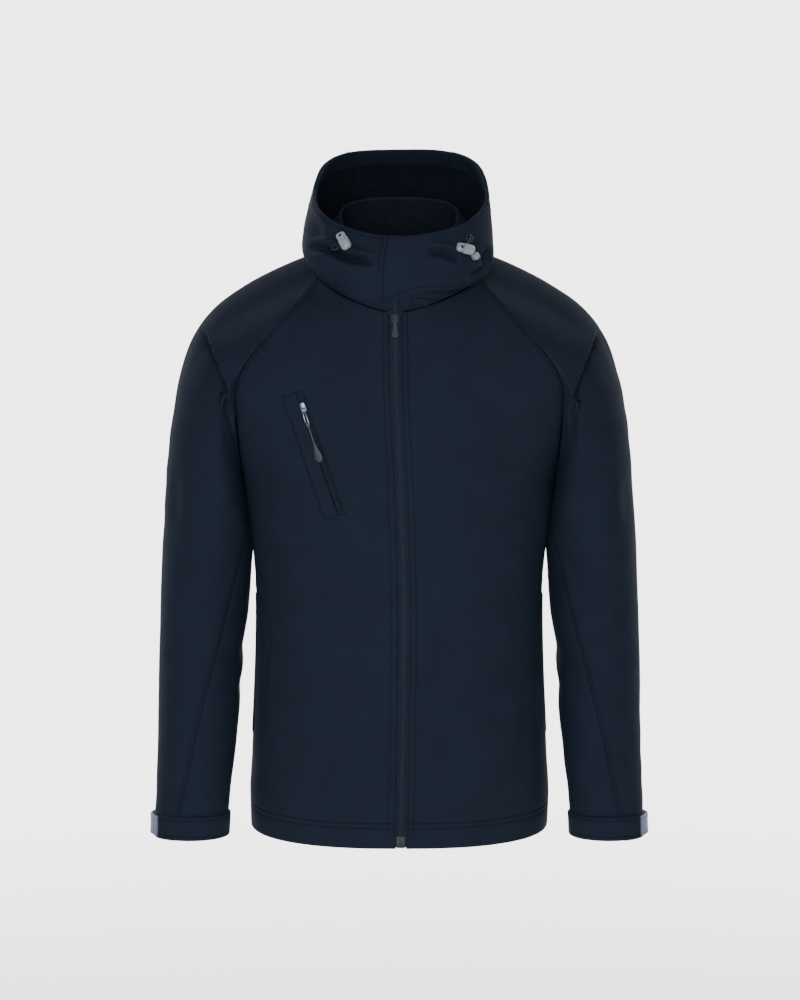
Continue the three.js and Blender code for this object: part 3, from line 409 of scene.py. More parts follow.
def from_line(places, line):
    """Each place's distance from a line, how far along it lies, and on which side."""
    best = np.full(places.shape[:-1], 1e9)
    along, side = np.zeros_like(best), np.ones_like(best)
    count = len(line) - 1
    for i in range(count):
        start, way = line[i], line[i + 1] - line[i]
        off = places - start
        share = np.clip((off @ way) / (way @ way), 0, 1)
        gap = np.linalg.norm(off - share[..., None] * way, axis=-1)
        nearer = gap < best
        best = np.where(nearer, gap, best)
        along = np.where(nearer, (i + share) / count, along)
        side = np.where(nearer, np.sign(off[..., 0] * way[1] - off[..., 1] * way[0]), side)
    return best, along, side


def fold_moves(points, normals, folds):
    """How far the folds move each point along its normal, in mm."""
    places = seen_at(points)
    toward = -(normals @ VIEW_AHEAD)
    moves = np.zeros(points.shape[:-1])
    for fold in folds:
        faces = toward if fold.face == "front" else -toward
        gap, along, side = from_line(places, bend_line(fold.line))
        gap = gap * PIXEL
        ends = smooth(along / 0.3) * smooth((1 - along) / 0.3)
        lip_side = np.where(side > 0, 1.0, 0.45)
        shape = -fold.depth * bell(gap, fold.width)
        shape = shape + fold.lip * lip_side * bell(gap - 1.9 * fold.width, fold.width * 0.9)
        moves = moves + shape * ends * smooth(faces / 0.3)
    return moves


ARM_CREASE = [(203, 322), (211, 346), (224, 380), (232, 409), (236, 440)]


def crease_moves(points, normals, line, outer):
    """The step where the arm hangs from under the shoulder: it drops sharply on the arm's side."""
    gap, along, side = from_line(seen_at(points), bend_line(line, 30))
    away = gap * PIXEL * side * outer
    ends = smooth(along / 0.2) * smooth((1 - along) / 0.45)
    drop = -10.0 * np.exp(-np.maximum(away, 0) / 24) - 3.5 * bell(away - 3.2, 3.2)
    drop = drop * smooth(away / 2.6)
    ridge = 3.0 * bell(np.minimum(away, 0), 11)
    faces = smooth(-(normals @ VIEW_AHEAD) / 0.3)
    held = ends * faces * smooth(edge_gaps(points)["bottom"] / 14)
    return np.where(away > 0, drop + 3.0 * bell(away, 2.4), ridge) * held


def soft_waves(points, size, height, phase):
    """A slow, uneven swell of the cloth, so that no panel is a perfect surface."""
    x, y, z = (points / size)[..., 0], (points / size)[..., 1], (points / size)[..., 2]
    swell = np.sin(2.1 * x + 1.3 * z + phase) * np.cos(1.7 * z - 0.9 * y + 2 * phase)
    return height * (swell + 0.6 * np.sin(3.7 * z + 1.9 * x * np.sin(z + phase) + 3 * phase))


# Cloth -------------------------------------------------------------------------------------------

PIECES = {}
Piece = namedtuple("Piece", "points normals")


def run_lengths(points, axis):
    """Distances along a grid's rows or columns, in mm."""
    steps = np.linalg.norm(np.diff(points, axis=axis), axis=-1)
    start = np.zeros_like(np.take(steps, [0], axis=axis))
    return np.concatenate((start, np.cumsum(steps, axis=axis)), axis=axis)


def edge_gaps(points):
    """Each point's distance from the grid's four edges."""
    across, up = run_lengths(points, 1), run_lengths(points, 0)
    return {
        "left": across, "right": across[:, -1:] - across, "bottom": up, "top": up[-1:] - up,
    }


def seam_moves(points, seams):
    """How seams and topstitching shape the cloth beside its edges.

    Seams gives, for an edge, how deep it rolls in and at what distances it is stitched.
    """
    gaps = edge_gaps(points)
    moves = np.zeros(points.shape[:-1])
    for edge, (roll, insets) in seams.items():
        gap = gaps[edge]
        run = gaps["bottom"] if edge in ("left", "right") else gaps["left"]
        moves -= roll * bell(gap, 1.6)
        for inset in insets:
            moves -= 0.95 * bell(gap - inset, 1.3)
        if insets:
            pucker = np.sin(run / 2.3 + 2 * np.sin(run / 31)) * np.sin(run / 5.9 + 1)
            moves += 0.16 * pucker * bell(gap - insets[-1], 6)
    return moves


def linked(name, data):
    """A new object in the scene."""
    made = bpy.data.objects.new(name, data)
    bpy.context.scene.collection.objects.link(made)
    return made


def grid_faces(rows, columns, offset=0, flip=False):
    index = offset + np.arange(rows * columns).reshape(rows, columns)
    quads = (index[:-1, :-1], index[:-1, 1:], index[1:, 1:], index[1:, :-1])
    faces = np.stack(quads, axis=-1).reshape(-1, 4)
    return faces[:, ::-1] if flip else faces


def mesh_from(name, points, faces, uv=None, places=None):
    """A mesh object from arrays, in mm, with its UV map in metres."""
    mesh = bpy.data.meshes.new(name)
    mesh.from_pydata((points * MM).tolist(), [], faces.tolist())
    if uv is not None:
        layer = mesh.uv_layers.new(name="cloth")
        corners = np.empty(len(mesh.loops), dtype=np.int32)
        mesh.loops.foreach_get("vertex_index", corners)
        layer.data.foreach_set("uv", (uv[corners] * MM).ravel())
    if places is not None:
        mesh.polygons.foreach_set("material_index", places.astype(np.int32))
    mesh.polygons.foreach_set("use_smooth", np.ones(len(mesh.polygons), dtype=bool))
    mesh.validate()
    mesh.update()
    return linked(name, mesh)


def cloth(name, points, normals, thickness, outer, inner, soften=0.7, faced=0.0):
    """A wall of cloth: the grid is its outer face, and its inner face lies behind.

    Faced is how far below its top edge the inner face is of the outer cloth too.
    """
    rows, columns = points.shape[:2]
    count = rows * columns
    depth = np.broadcast_to(thickness, (rows, columns))[..., None]
    inside = points - normals * depth
    quad = np.cross(points[1, 1] - points[0, 0], points[1, 0] - points[0, 1])
    flip = quad @ normals[0, 0] < 0
    front = grid_faces(rows, columns, 0, flip)
    back = grid_faces(rows, columns, count, not flip)
    ring = np.concatenate((
        np.arange(columns), np.arange(1, rows) * columns + columns - 1,
        (rows - 1) * columns + np.arange(columns - 1)[::-1], np.arange(rows - 1)[::-1] * columns,
    ))
    ring = ring[:-1]
    after = np.roll(ring, -1)
    rim = np.stack((ring, ring + count, after + count, after), axis=-1)
    rim = rim[:, ::-1] if flip else rim
    faces = np.concatenate((front, back, rim))
    below = edge_gaps(points)["top"][:-1, :-1].ravel()
    inner_places = np.where(below < faced, 0.0, 1.0)
    places = np.concatenate((np.zeros(len(front)), inner_places, np.zeros(len(rim))))
    uv = np.stack((run_lengths(points, 1), run_lengths(points, 0)), axis=-1).reshape(-1, 2)
    piece = mesh_from(
        name,
        np.concatenate((points.reshape(-1, 3), inside.reshape(-1, 3))),
        faces,
        np.concatenate((uv, uv)),
        places,
    )
    piece.data.set_sharp_from_angle(angle=math.radians(55))
    piece.data.materials.append(finish(outer))
    piece.data.materials.append(finish(inner))
    if soften:
        bevel = piece.modifiers.new("turned edge", "BEVEL")
        bevel.width = soften * MM
        bevel.segments = 2
        bevel.limit_method = "ANGLE"
        bevel.angle_limit = math.radians(55)
    PIECES[name] = Piece(points, normals)
    return piece


def declare_sheet(piece, skip=0.0):
    """Works out what a cloth piece was cut from: its widest, its longest and its flat area, and
    keeps none of it.

    Skip is the share of its rows, from the lowest, that bend too much to be its width.
    """
    points = PIECES[piece.name].points
    across, up = run_lengths(points, 1), run_lengths(points, 0)
    first = np.cross(points[1:, 1:] - points[:-1, :-1], points[1:, :-1] - points[:-1, 1:])
    area = np.linalg.norm(first, axis=-1).sum() / 2
    width, length = across[int(skip * len(across)):, -1].max(), up[-1].max()
    area = min(area, width * length)


def wear(piece, node):
    """A cloth piece rides on the jacket's body and takes the place of one of its solids."""
    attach(piece, "jacket")
    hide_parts(node)


def raised(points, normals, rise):
    """A grid moved along its normals, with the normals it then has."""
    points = points + normals * np.asarray(rise)[..., None]
    return points, smooth_normals(points, normals)


def patch(surface, u, v, facing, span, rise_of):
    """A grid that stands off its surface by what rise_of says for its edge gaps and its columns."""
    across, up = np.meshgrid(u, v)
    points = surface(across, up)
    normals = normal_of(surface, across, up, facing, span)
    return raised(points, normals, rise_of(edge_gaps(points), across))


def nearest(gaps):
    return np.minimum.reduce(list(gaps.values()))


def shaped(surface, u, v, facing, span, seams, folds=(), waves=0.0, phase=0.0, hold=0.0):
    """A panel's grid with its folds, seams and slow swell, ready to be made cloth.

    Hold is how much of a fold crosses a seam.
    """
    across, up = np.meshgrid(u, v) if np.ndim(u) == 1 else (u, v)
    points = surface(across, up)
    normals = normal_of(surface, across, up, facing, span)
    gaps = edge_gaps(points)
    inside = np.ones(points.shape[:-1])
    crossing = np.ones(points.shape[:-1])
    for edge in seams:
        near = smooth(gaps[edge] / 25)
        inside = inside * near
        crossing = crossing * (mix(hold, 1.0, near) if edge in ("left", "right") else near)
    moves = fold_moves(points, normals, folds) * crossing
    moves = moves + soft_waves(points, 74, waves, phase) * inside
    moves = moves + seam_moves(points, seams)
    return raised(points, normals, moves)


def smooth_normals(points, guide):
    """The normals of a moved grid, facing as the guide does."""
    along = np.gradient(points, axis=1)
    up = np.gradient(points, axis=0)
    found = unit(np.cross(along, up))
    found = found * np.sign((found * guide).sum(axis=-1, keepdims=True))
    return unit(mix(guide, found, smooth(nearest(edge_gaps(points)) / 5)[..., None]))


def seam_allowances(name, runs):
    """The overlocked edges inside the garment, one along each of the runs of a piece's edge."""
    def build(work):
        for piece_name, edge in runs:
            line, up = inset_line(PIECES[piece_name], edge, 0.0)
            tube(work, (line - up * 2.5)[::3], 2.1, 6)

    solid(name, build, Matrix.Identity(4), "lining", "jacket")


def inset_line(piece, edge, inset, lift=0.0, start=0.0, end=1.0):
    """A line beside an edge of a piece at a distance, and the normals along it."""
    points, normals = piece.points, piece.normals
    if edge in ("bottom", "top"):
        points, normals = points.transpose(1, 0, 2), normals.transpose(1, 0, 2)
    if edge in ("right", "top"):
        points, normals = points[:, ::-1], normals[:, ::-1]
    runs = run_lengths(points, 1)
    index = np.array([np.interp(inset, row, np.arange(len(row))) for row in runs])
    low = np.minimum(index.astype(int), points.shape[1] - 2)
    share = (index - low)[:, None]
    row = np.arange(len(points))
    line = mix(points[row, low], points[row, low + 1], share)
    up = unit(mix(normals[row, low], normals[row, low + 1], share))
    first, last = int(start * len(line)), max(int(end * len(line)), 2)
    return (line + up * lift)[first:last], up[first:last]


# Nodes -------------------------------------------------------------------------------------------

def linear(hex_colour):
    """An sRGB hex colour as linear numbers."""
    values = [int(hex_colour[i:i + 2], 16) / 255 for i in (1, 3, 5)]
    return tuple(v / 12.92 if v <= 0.04045 else ((v + 0.055) / 1.055) ** 2.4 for v in values)


def put(tree, kind, settings=None, **inputs):
    """Adds a node with its settings; an input is a value or a (node, output) link."""
    node = tree.nodes.new(kind)
    for name, value in (settings or {}).items():
        setattr(node, name, value)
    for name, value in inputs.items():
        numbered = name[1:].isdigit()
        socket = node.inputs[int(name[1:]) if numbered else name.replace("_", " ")]
        if isinstance(value, tuple) and isinstance(value[0], bpy.types.Node):
            tree.links.new(value[0].outputs[value[1]], socket)
        else:
            socket.default_value = value
    return node


def new_material(name, **surface):
    material = bpy.data.materials.new(name)
    material.use_nodes = True
    tree = material.node_tree
    tree.nodes.clear()
    shader = put(tree, "ShaderNodeBsdfPrincipled")
    for socket, value in surface.items():
        shader.inputs[socket.replace("_", " ")].default_value = value
    out = put(tree, "ShaderNodeOutputMaterial")
    tree.links.new(shader.outputs["BSDF"], out.inputs["Surface"])
    return material, tree, shader


def tint(tree, shader, colour, grain, low, high):
    """Uneven colour: a noise between a darker and a lighter shade of one colour."""
    place = put(tree, "ShaderNodeTexCoord")
    noise = put(
        tree, "ShaderNodeTexNoise", Vector=(place, "Object"), Scale=1 / grain, Detail=3.0,
    )
    ramp = put(tree, "ShaderNodeValToRGB", Fac=(noise, "Fac"))
    base = np.array(linear(colour))
    ramp.color_ramp.elements[0].position = 0.3
    ramp.color_ramp.elements[1].position = 0.7
    ramp.color_ramp.elements[0].color = (*np.clip(base * low, 0, 1), 1)
    ramp.color_ramp.elements[1].color = (*np.clip(base * high, 0, 1), 1)
    tree.links.new(ramp.outputs["Color"], shader.inputs["Base Color"])
    return place, noise


WAVE_PERIOD = 2 * math.pi / 20  # the Wave texture's own period at scale 1


def woven(tree, place, thread):
    """The height of a plain weave on the piece's own UV map, with threads this far apart."""
    waves = [
        put(
            tree, "ShaderNodeTexWave",
            {"wave_type": "BANDS", "bands_direction": way},
            Vector=(place, "UV"), Scale=WAVE_PERIOD / thread, Distortion=0.6, Detail=1.0,
            Detail_Scale=2.0,
        )
        for way in ("X", "Y")
    ]
    return put(
        tree, "ShaderNodeMath", {"operation": "ADD"}, _0=(waves[0], "Fac"), _1=(waves[1], "Fac"),
    )


def bump(tree, shader, height, output, strength, distance, under=None):
    node = put(
        tree, "ShaderNodeBump", Height=(height, output), Strength=strength, Distance=distance,
    )
    if under is not None:
        tree.links.new(under.outputs["Normal"], node.inputs["Normal"])
    tree.links.new(node.outputs["Normal"], shader.inputs["Normal"])
    return node


def pattern(tree, place, own, kind, size):
    """The node and output of a height pattern, whose features are size millimetres apart."""
    if kind == "scuff":
        return own, "Fac"
    if kind == "weave":
        return woven(tree, place, size * MM), "Value"
    if kind == "braid":
        return put(
            tree, "ShaderNodeTexWave", {"bands_direction": "DIAGONAL"}, Vector=(place, "Object"),
            Scale=WAVE_PERIOD / (size * MM),
        ), "Fac"
    coords, detail = {"grain": ("UV", 2.0), "nap": ("Object", 4.0), "pebble": ("Object", 2.0)}[kind]
    return put(
        tree, "ShaderNodeTexNoise", Vector=(place, coords), Scale=1 / (size * MM), Detail=detail,
    ), "Fac"


# The name says what the material is. Shade is its colour in the panel, grain the size of that
# colour's uneven patches in metres, and low and high how dark and light they are. Each relief is a
# pattern, the distance between its features in mm, its strength and its depth in mm.
Finish = namedtuple("Finish", "name shade grain low high reliefs surface")
FINISHES = {
    # A dense plain weave, matt, with a faint blue bloom at a slant. Real threads lie 0.5 mm apart.
    # They are drawn 1.4 mm apart, so that they show at all.
    "softshell": Finish(
        "softshell_woven_polyester", "shell", 0.035, 0.93, 1.08,
        (("grain", 2.6, 0.18, 0.5), ("weave", 1.4, 0.16, 0.3)),
        dict(
            Roughness=0.86, Sheen_Weight=0.03, Sheen_Roughness=0.5,
            Sheen_Tint=(*linear("#5c7396"), 1), Specular_IOR_Level=0.06,
        ),
    ),
    # Brushed fleece: nearly black, with a soft short nap that takes no highlight.
    # On the chest pocket's zip tape this finish is painted shade of the slit's recess.
    "lining": Finish(
        "lining_fleece_and_painted_shade", "lining", 0.006, 0.7, 1.25, (("nap", 2.2, 0.5, 0.8),),
        dict(
            Roughness=0.95, Sheen_Weight=0.08, Sheen_Roughness=0.6,
            Sheen_Tint=(*linear("#3a4a63"), 1), Specular_IOR_Level=0.1,
        ),
    ),
    # Sewing thread: darker than the cloth and as matt, so that it shows as a fine dark line.
    "thread": Finish(
        "thread_polyester", "thread", 0.0035, 0.8, 1.2, (),
        dict(Roughness=0.8, Specular_IOR_Level=0.06),
    ),
    # Ribbed zip tape: matt and very near the cloth's colour.
    "tape": Finish(
        "zip_tape_woven_polyester", "zip", 0.004, 0.8, 1.25, (("weave", 1.1, 0.4, 0.3),),
        dict(Roughness=0.82, Specular_IOR_Level=0.08),
    ),
    # Smooth moulded monofilament that catches small lights.
    "coil": Finish(
        "zip_coil_nylon", "coil", 0.003, 0.75, 1.3, (),
        dict(Roughness=0.48, Specular_IOR_Level=0.22),
    ),
    # Moulded PVC: satin, with the fine pebble that the mould leaves.
    "rubber": Finish(
        "puller_moulded_pvc", "pull", 0.004, 0.92, 1.1, (("pebble", 0.9, 0.12, 0.2),),
        dict(Roughness=0.5, Specular_IOR_Level=0.25),
    ),
    # Tumbled zinc: bright edges on a soft grey, with fine scuffs.
    "metal": Finish(
        "slider_die_cast_zinc", "metal", 0.002, 0.72, 1.15, (("scuff", 2, 0.15, 0.15),),
        dict(Metallic=1.0, Roughness=0.34),
    ),
    # Zinc painted nearly in the cloth's colour: satin, lighter where it is rubbed. On the centre
    # zip's slider this dark colour is also painted shade of the storm flap's shadow.
    "dark": Finish(
        "dark_zinc_and_painted_shade", "dark", 0.002, 0.6, 1.5, (("scuff", 2, 0.15, 0.15),),
        dict(Metallic=0.0, Roughness=0.55, Specular_IOR_Level=0.3),
    ),
    # Moulded acetal: smooth mid grey with a soft gloss.
    "plastic": Finish(
        "cord_lock_acetal", "lock", 0.003, 0.9, 1.08, (("scuff", 3, 0.08, 0.2),),
        dict(Roughness=0.42, IOR=1.48),
    ),
    # Moulded rubber: blue grey, matt, with a fine pebble.
    "tab": Finish(
        "cuff_tab_moulded_rubber", "tab", 0.012, 0.92, 1.06, (("pebble", 1.2, 0.15, 0.25),),
        dict(Roughness=0.55, IOR=1.5),
    ),
    # Elastic cord in a diagonal braid, nearly black.
    "elastic": Finish(
        "cord_braided_elastic", "cord", 0.002, 0.7, 1.4, (("braid", 1.2, 0.5, 0.3),),
        dict(Roughness=0.7),
    ),
    # Seamless studio paper: matt and even, with a barely seen mottle.
    "paper": Finish(
        "studio_paper", "paper", 0.6, 0.995, 1.005, (),
        dict(Roughness=1.0, Specular_IOR_Level=0.0),
    ),
}
MADE = {}


def finish(name):
    """A finish by its short name, made once from the scene's colours."""
    if name not in MADE:
        is_a = FINISHES[name]
        material, tree, shader = new_material(is_a.name, **is_a.surface)
        colour = getattr(bpy.context.scene.jacket_colours, is_a.shade)
        place, own = tint(tree, shader, colour, is_a.grain, is_a.low, is_a.high)
        under = None
        for kind, size, strength, depth in is_a.reliefs:
            height, output = pattern(tree, place, own, kind, size)
            under = bump(tree, shader, height, output, strength, depth * MM, under)
        MADE[name] = material
    return MADE[name]


# Rows of stitches and teeth ----------------------------------------------------------------------

def row_tree():
    """Lays small rounded elements along lines: stitches along them, or teeth across them."""
    tree = bpy.data.node_groups.new("row_of_elements", "GeometryNodeTree")
    face = tree.interface
    face.new_socket("Lines", in_out="INPUT", socket_type="NodeSocketGeometry")
    for name in ("Pitch", "Length", "Width", "Height", "Turn", "Unevenness"):
        face.new_socket(name, in_out="INPUT", socket_type="NodeSocketFloat")
    for name, kind in (("Seed", "Int"), ("Material", "Material")):
        face.new_socket(name, in_out="INPUT", socket_type="NodeSocket" + kind)
    face.new_socket("Row", in_out="OUTPUT", socket_type="NodeSocketGeometry")
    given = put(tree, "NodeGroupInput")
    curve = put(tree, "GeometryNodeMeshToCurve", Mesh=(given, "Lines"))
    even = put(
        tree, "GeometryNodeResampleCurve", {"mode": "LENGTH"}, Curve=(curve, "Curve"),
        Length=(given, "Pitch"),
    )
    up = put(tree, "GeometryNodeInputNamedAttribute", {"data_type": "FLOAT_VECTOR"}, Name="up")
    tangent = put(tree, "GeometryNodeInputTangent")
    first = put(
        tree, "FunctionNodeAlignRotationToVector", {"axis": "Z"}, Vector=(up, "Attribute"),
    )
    turned = put(
        tree, "FunctionNodeAlignRotationToVector", {"axis": "X", "pivot_axis": "Z"},
        Rotation=(first, "Rotation"), Vector=(tangent, "Tangent"),
    )
    spin = put(tree, "ShaderNodeCombineXYZ", Z=(given, "Turn"))
    around = put(tree, "FunctionNodeEulerToRotation", Euler=(spin, "Vector"))
    rotation = put(
        tree, "FunctionNodeRotateRotation", {"rotation_space": "LOCAL"},
        Rotation=(turned, "Rotation"), Rotate_By=(around, "Rotation"),
    )
    ball = put(tree, "GeometryNodeMeshIcoSphere", Radius=0.5, Subdivisions=1)
    size = put(
        tree, "ShaderNodeCombineXYZ", X=(given, "Length"), Y=(given, "Width"),
        Z=(given, "Height"),
    )
    element = put(
        tree, "GeometryNodeTransform", Geometry=(ball, "Mesh"), Scale=(size, "Vector"),
    )
    smallest, largest = (
        put(tree, "ShaderNodeMath", {"operation": way}, _0=1.0, _1=(given, "Unevenness"))
        for way in ("SUBTRACT", "ADD")
    )
    chance = put(
        tree, "FunctionNodeRandomValue", {"data_type": "FLOAT"}, _2=(smallest, "Value"),
        _3=(largest, "Value"), Seed=(given, "Seed"),
    )
    laid = put(
        tree, "GeometryNodeInstanceOnPoints", Points=(even, "Curve"),
        Instance=(element, "Geometry"), Rotation=(rotation, "Rotation"), Scale=(chance, 1),
    )
    real = put(tree, "GeometryNodeRealizeInstances", Geometry=(laid, "Instances"))
    smoothed = put(tree, "GeometryNodeSetShadeSmooth", Geometry=(real, "Geometry"))
    painted = put(
        tree, "GeometryNodeSetMaterial", Geometry=(smoothed, "Geometry"),
        Material=(given, "Material"),
    )
    put(tree, "NodeGroupOutput", Row=(painted, "Geometry"))
    return tree


def lay_rows(name, lines, body, slot, **sizes):
    """Elements along each of the (points, ups) lines, as one plain mesh that rides on a body."""
    points = np.concatenate([line for line, _ in lines])
    ups = np.concatenate([up for _, up in lines])
    edges, start = [], 0
    for line, _ in lines:
        edges += [(start + i, start + i + 1) for i in range(len(line) - 1)]
        start += len(line)
    mesh = bpy.data.meshes.new(name + "_lines")
    mesh.from_pydata((points * MM).tolist(), edges, [])
    mesh.attributes.new("up", "FLOAT_VECTOR", "POINT").data.foreach_set("vector", ups.ravel())
    guide = linked(name + "_lines", mesh)
    tree = bpy.data.node_groups.get("row_of_elements") or row_tree()
    modifier = guide.modifiers.new("row", "NODES")
    modifier.node_group = tree
    sockets = {item.name: item.identifier for item in tree.interface.items_tree}
    values = {"Turn": 0.0, "Unevenness": 0.06, "Seed": 7, **sizes}
    for key, value in values.items():
        modifier[sockets[key]] = finish(value) if key == "Material" else value
    ready = guide.evaluated_get(bpy.context.evaluated_depsgraph_get())
    done = bpy.data.meshes.new_from_object(ready)
    bpy.data.objects.remove(guide)
    row = linked(name, done)
    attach(row, body)
    return row


def stitch(name, lines):
    """Topstitching at about nine stitches to 30 mm, each drawn as a short raised thread."""
    sewing = bpy.context.scene.jacket_sewing
    return lay_rows(
        name, lines, "jacket", "softshell", Pitch=sewing.stitch, Length=sewing.stitch * 0.74,
        Width=sewing.thread, Height=sewing.thread * 0.8, Material="thread",
    )


# Places on the cloth -----------------------------------------------------------------------------

Place = namedtuple("Place", "point normal")


def solve(surface, guess, span, x, z):
    """Where a surface passes a place as seen from straight ahead."""
    u, v = guess
    step = 0.001
    for _ in range(24):
        p = surface(u, v)
        du = (surface(u + step * span, v) - p) / (step * span)
        dv = (surface(u, v + step) - p) / step
        size = du[..., 0] * dv[..., 2] - dv[..., 0] * du[..., 2]
        off_x, off_z = x - p[..., 0], z - p[..., 2]
        u = u + (off_x * dv[..., 2] - off_z * dv[..., 0]) / size
        v = v + (off_z * du[..., 0] - off_x * du[..., 2]) / size
    return u, v


def on_front(side, x, z, lift=0.0):
    x, z = np.asarray(x, float), np.asarray(z, float)
    surface = lambda across, level: front_point(side, across, level)
    u, v = solve(surface, (0 * x + 0.4, 0 * x + 1.0), 1, x, z)
    normal = normal_of(surface, u, v, side)
    return Place(surface(u, v) + normal * np.asarray(lift)[..., None], normal)


def on_hood(x, z, lift=0.0):
    x, z = np.asarray(x, float), np.asarray(z, float)
    u, v = solve(hood_point, (x / 2, 0 * x + 2.0), 100, x, z)
    normal = normal_of(hood_point, u, v, 1, 400)
    return Place(hood_point(u, v) + normal * np.asarray(lift)[..., None], normal)


def lay_matrix(place, up):
    """The frame of what lies on a place: +Y runs along up, and +Z away from the cloth."""
    normal = Vector(place.normal).normalized()
    across = Vector(up).cross(normal).normalized()
    along = normal.cross(across)
    turn = Matrix((across, along, normal)).transposed().to_4x4()
    return Matrix.Translation(Vector(place.point)) @ turn


def leaning(place, degrees):
    """Straight up, turned on a place by an angle."""
    return Matrix.Rotation(math.radians(degrees), 3, Vector(place.normal)) @ Vector((0, 0, 1))


def solid(name, build, matrix, material, body, soften=0.0, node=None):
    """A hard piece from a bmesh builder in its own frame, in mm, set in place of a node."""
    work = bmesh.new()
    build(work)
    bmesh.ops.remove_doubles(work, verts=work.verts, dist=1e-4)
    if soften:
        sharp = [e for e in work.edges if len(e.link_faces) == 2 and e.calc_face_angle(0) > 0.6]
        bmesh.ops.bevel(
            work, geom=sharp, offset=soften, segments=2, profile=0.5, affect="EDGES",
            clamp_overlap=True,
        )
    bmesh.ops.recalc_face_normals(work, faces=work.faces)
    work.transform(Matrix.Diagonal((MM, MM, MM, 1)) @ matrix)
    mesh = bpy.data.meshes.new(name)
    work.to_mesh(mesh)
    work.free()
    mesh.polygons.foreach_set("use_smooth", np.ones(len(mesh.polygons), dtype=bool))
    mesh.set_sharp_from_angle(angle=math.radians(40))
    mesh.materials.append(finish(material))
    piece = linked(name, mesh)
    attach(piece, body)
    if node:
        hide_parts(node)


ACROSS = Matrix.Rotation(math.pi / 2, 4, "Y")


def round_outline(width, height, radius, steps=6):
    """A rounded rectangle about its own middle."""
    points = []
    corners = ((1, -1, -90), (1, 1, 0), (-1, 1, 90), (-1, -1, 180))
    for sx, sy, start in corners:
        for i in range(steps + 1):
            turn = math.radians(start + 90 * i / steps)
            points.append((
                sx * (width / 2 - radius) + radius * math.cos(turn),
                sy * (height / 2 - radius) + radius * math.sin(turn),
            ))
    return points


def skin(work, rings):
    """Joins rings of vertices into a body that is closed at both ends."""
    count = len(rings[0])
    for low, high in zip(rings, rings[1:]):
        for i in range(count):
            j = (i + 1) % count
            work.faces.new((low[i], low[j], high[j], high[i]))
    work.faces.new(rings[0][::-1])
    work.faces.new(rings[-1])


def prism(work, outline, low, high, middle=(0, 0)):
    """A flat outline pushed from one height to another."""
    rings = []
    for z in (low, high):
        rings.append([work.verts.new((x + middle[0], y + middle[1], z)) for x, y in outline])
    skin(work, rings)


def barrel(work, stations, sides=20, matrix=None):
    """A turned body along Z from (radius, height) stations, closed at both ends."""
    rings = []
    for radius, height in stations:
        ring = []
        for i in range(sides):
            turn = 2 * math.pi * i / sides
            p = Vector((radius * math.cos(turn), radius * math.sin(turn), height))
            ring.append(work.verts.new(matrix @ p if matrix else p))
        rings.append(ring)
    skin(work, rings)


def knuckle(work, half):
    """The round end of a puller, which turns on its slider's pin."""
    stations = ((1.3, -half), (1.5, -half + 0.2), (1.5, half - 0.2), (1.3, half))
    barrel(work, stations, 20, ACROSS)


def lugs(work, off, pin):
    """A slider's two lugs, at a distance from its middle, and the pin between them."""
    for side in (-1, 1):
        turn = Matrix.Translation((side * off, 0, 0)) @ ACROSS
        barrel(work, ((1.2, -0.5), (1.5, -0.3), (1.5, 0.3), (1.2, 0.5)), 18, turn)
        prism(work, round_outline(1.0, 3.0, 0.3, 2), -2.2, -0.4, (side * off, 0))
    barrel(work, ((0.7, -pin), (0.7, pin)), 14, ACROSS)


def tube(work, line, radius, sides=10):
    """A round tube along a line of points, closed at both ends."""
    line = np.asarray(line, float)
    along = unit(np.gradient(line, axis=0))
    up = unit(np.cross(along, np.roll(along[0], 1) + (0.1, 0.2, 0.3)))
    other = np.cross(along, up)
    rings = []
    for i, p in enumerate(line):
        ring = []
        for k in range(sides):
            turn = 2 * math.pi * k / sides
            q = p + radius * (math.cos(turn) * up[i] + math.sin(turn) * other[i])
            ring.append(work.verts.new(q))
        rings.append(ring)
    skin(work, rings)


# Folds -------------------------------------------------------------------------------------------
# They are placed on the photograph's pixels. The hidden side gets like ones of its own.

def mirrored(line):
    return [(802.5 - x, y) for x, y in line]


BODY_FOLDS = [
    Fold("front", [(254, 584), (260, 596), (266, 612), (271, 634)], 2.6, 2.8, 1.2),
    Fold("front", [(549, 584), (542, 600), (536, 618), (532, 636)], 2.6, 2.6, 1.1),
    Fold("front", [(270, 622), (266, 670), (263, 740)], 3.2, 1.2, 0.6),
    Fold("front", [(533, 622), (538, 670), (541, 740)], 3.2, 1.1, 0.6),
    Fold("front", [(262, 560), (280, 590), (300, 612)], 13, 1.6, 0.7),
    Fold("front", [(258, 632), (282, 648), (318, 655)], 15, 1.5, 0.6),
    Fold("front", [(540, 575), (520, 600), (492, 616)], 13, 1.5, 0.6),
    Fold("front", [(546, 650), (515, 668), (470, 672)], 16, 1.6, 0.7),
    Fold("front", [(252, 470), (268, 500), (296, 520)], 12, 1.4, 0.5),
    Fold("front", [(552, 470), (534, 502), (508, 520)], 12, 1.4, 0.5),
    Fold("front", [(266, 740), (300, 762), (360, 770)], 18, 1.3, 0.5),
    Fold("front", [(538, 735), (505, 760), (446, 768)], 18, 1.3, 0.5),
    Fold("back", [(262, 560), (330, 596), (400, 590)], 16, 3.0, 1.2),
    Fold("back", [(540, 590), (470, 618), (402, 608)], 15, 2.6, 1.0),
    Fold("back", [(270, 640), (340, 660), (430, 650)], 18, 2.2, 1.0),
    Fold("back", [(300, 380), (330, 440), (345, 520)], 16, 2.0, 0.8),
    Fold("back", [(505, 375), (476, 440), (462, 515)], 16, 2.0, 0.8),
]
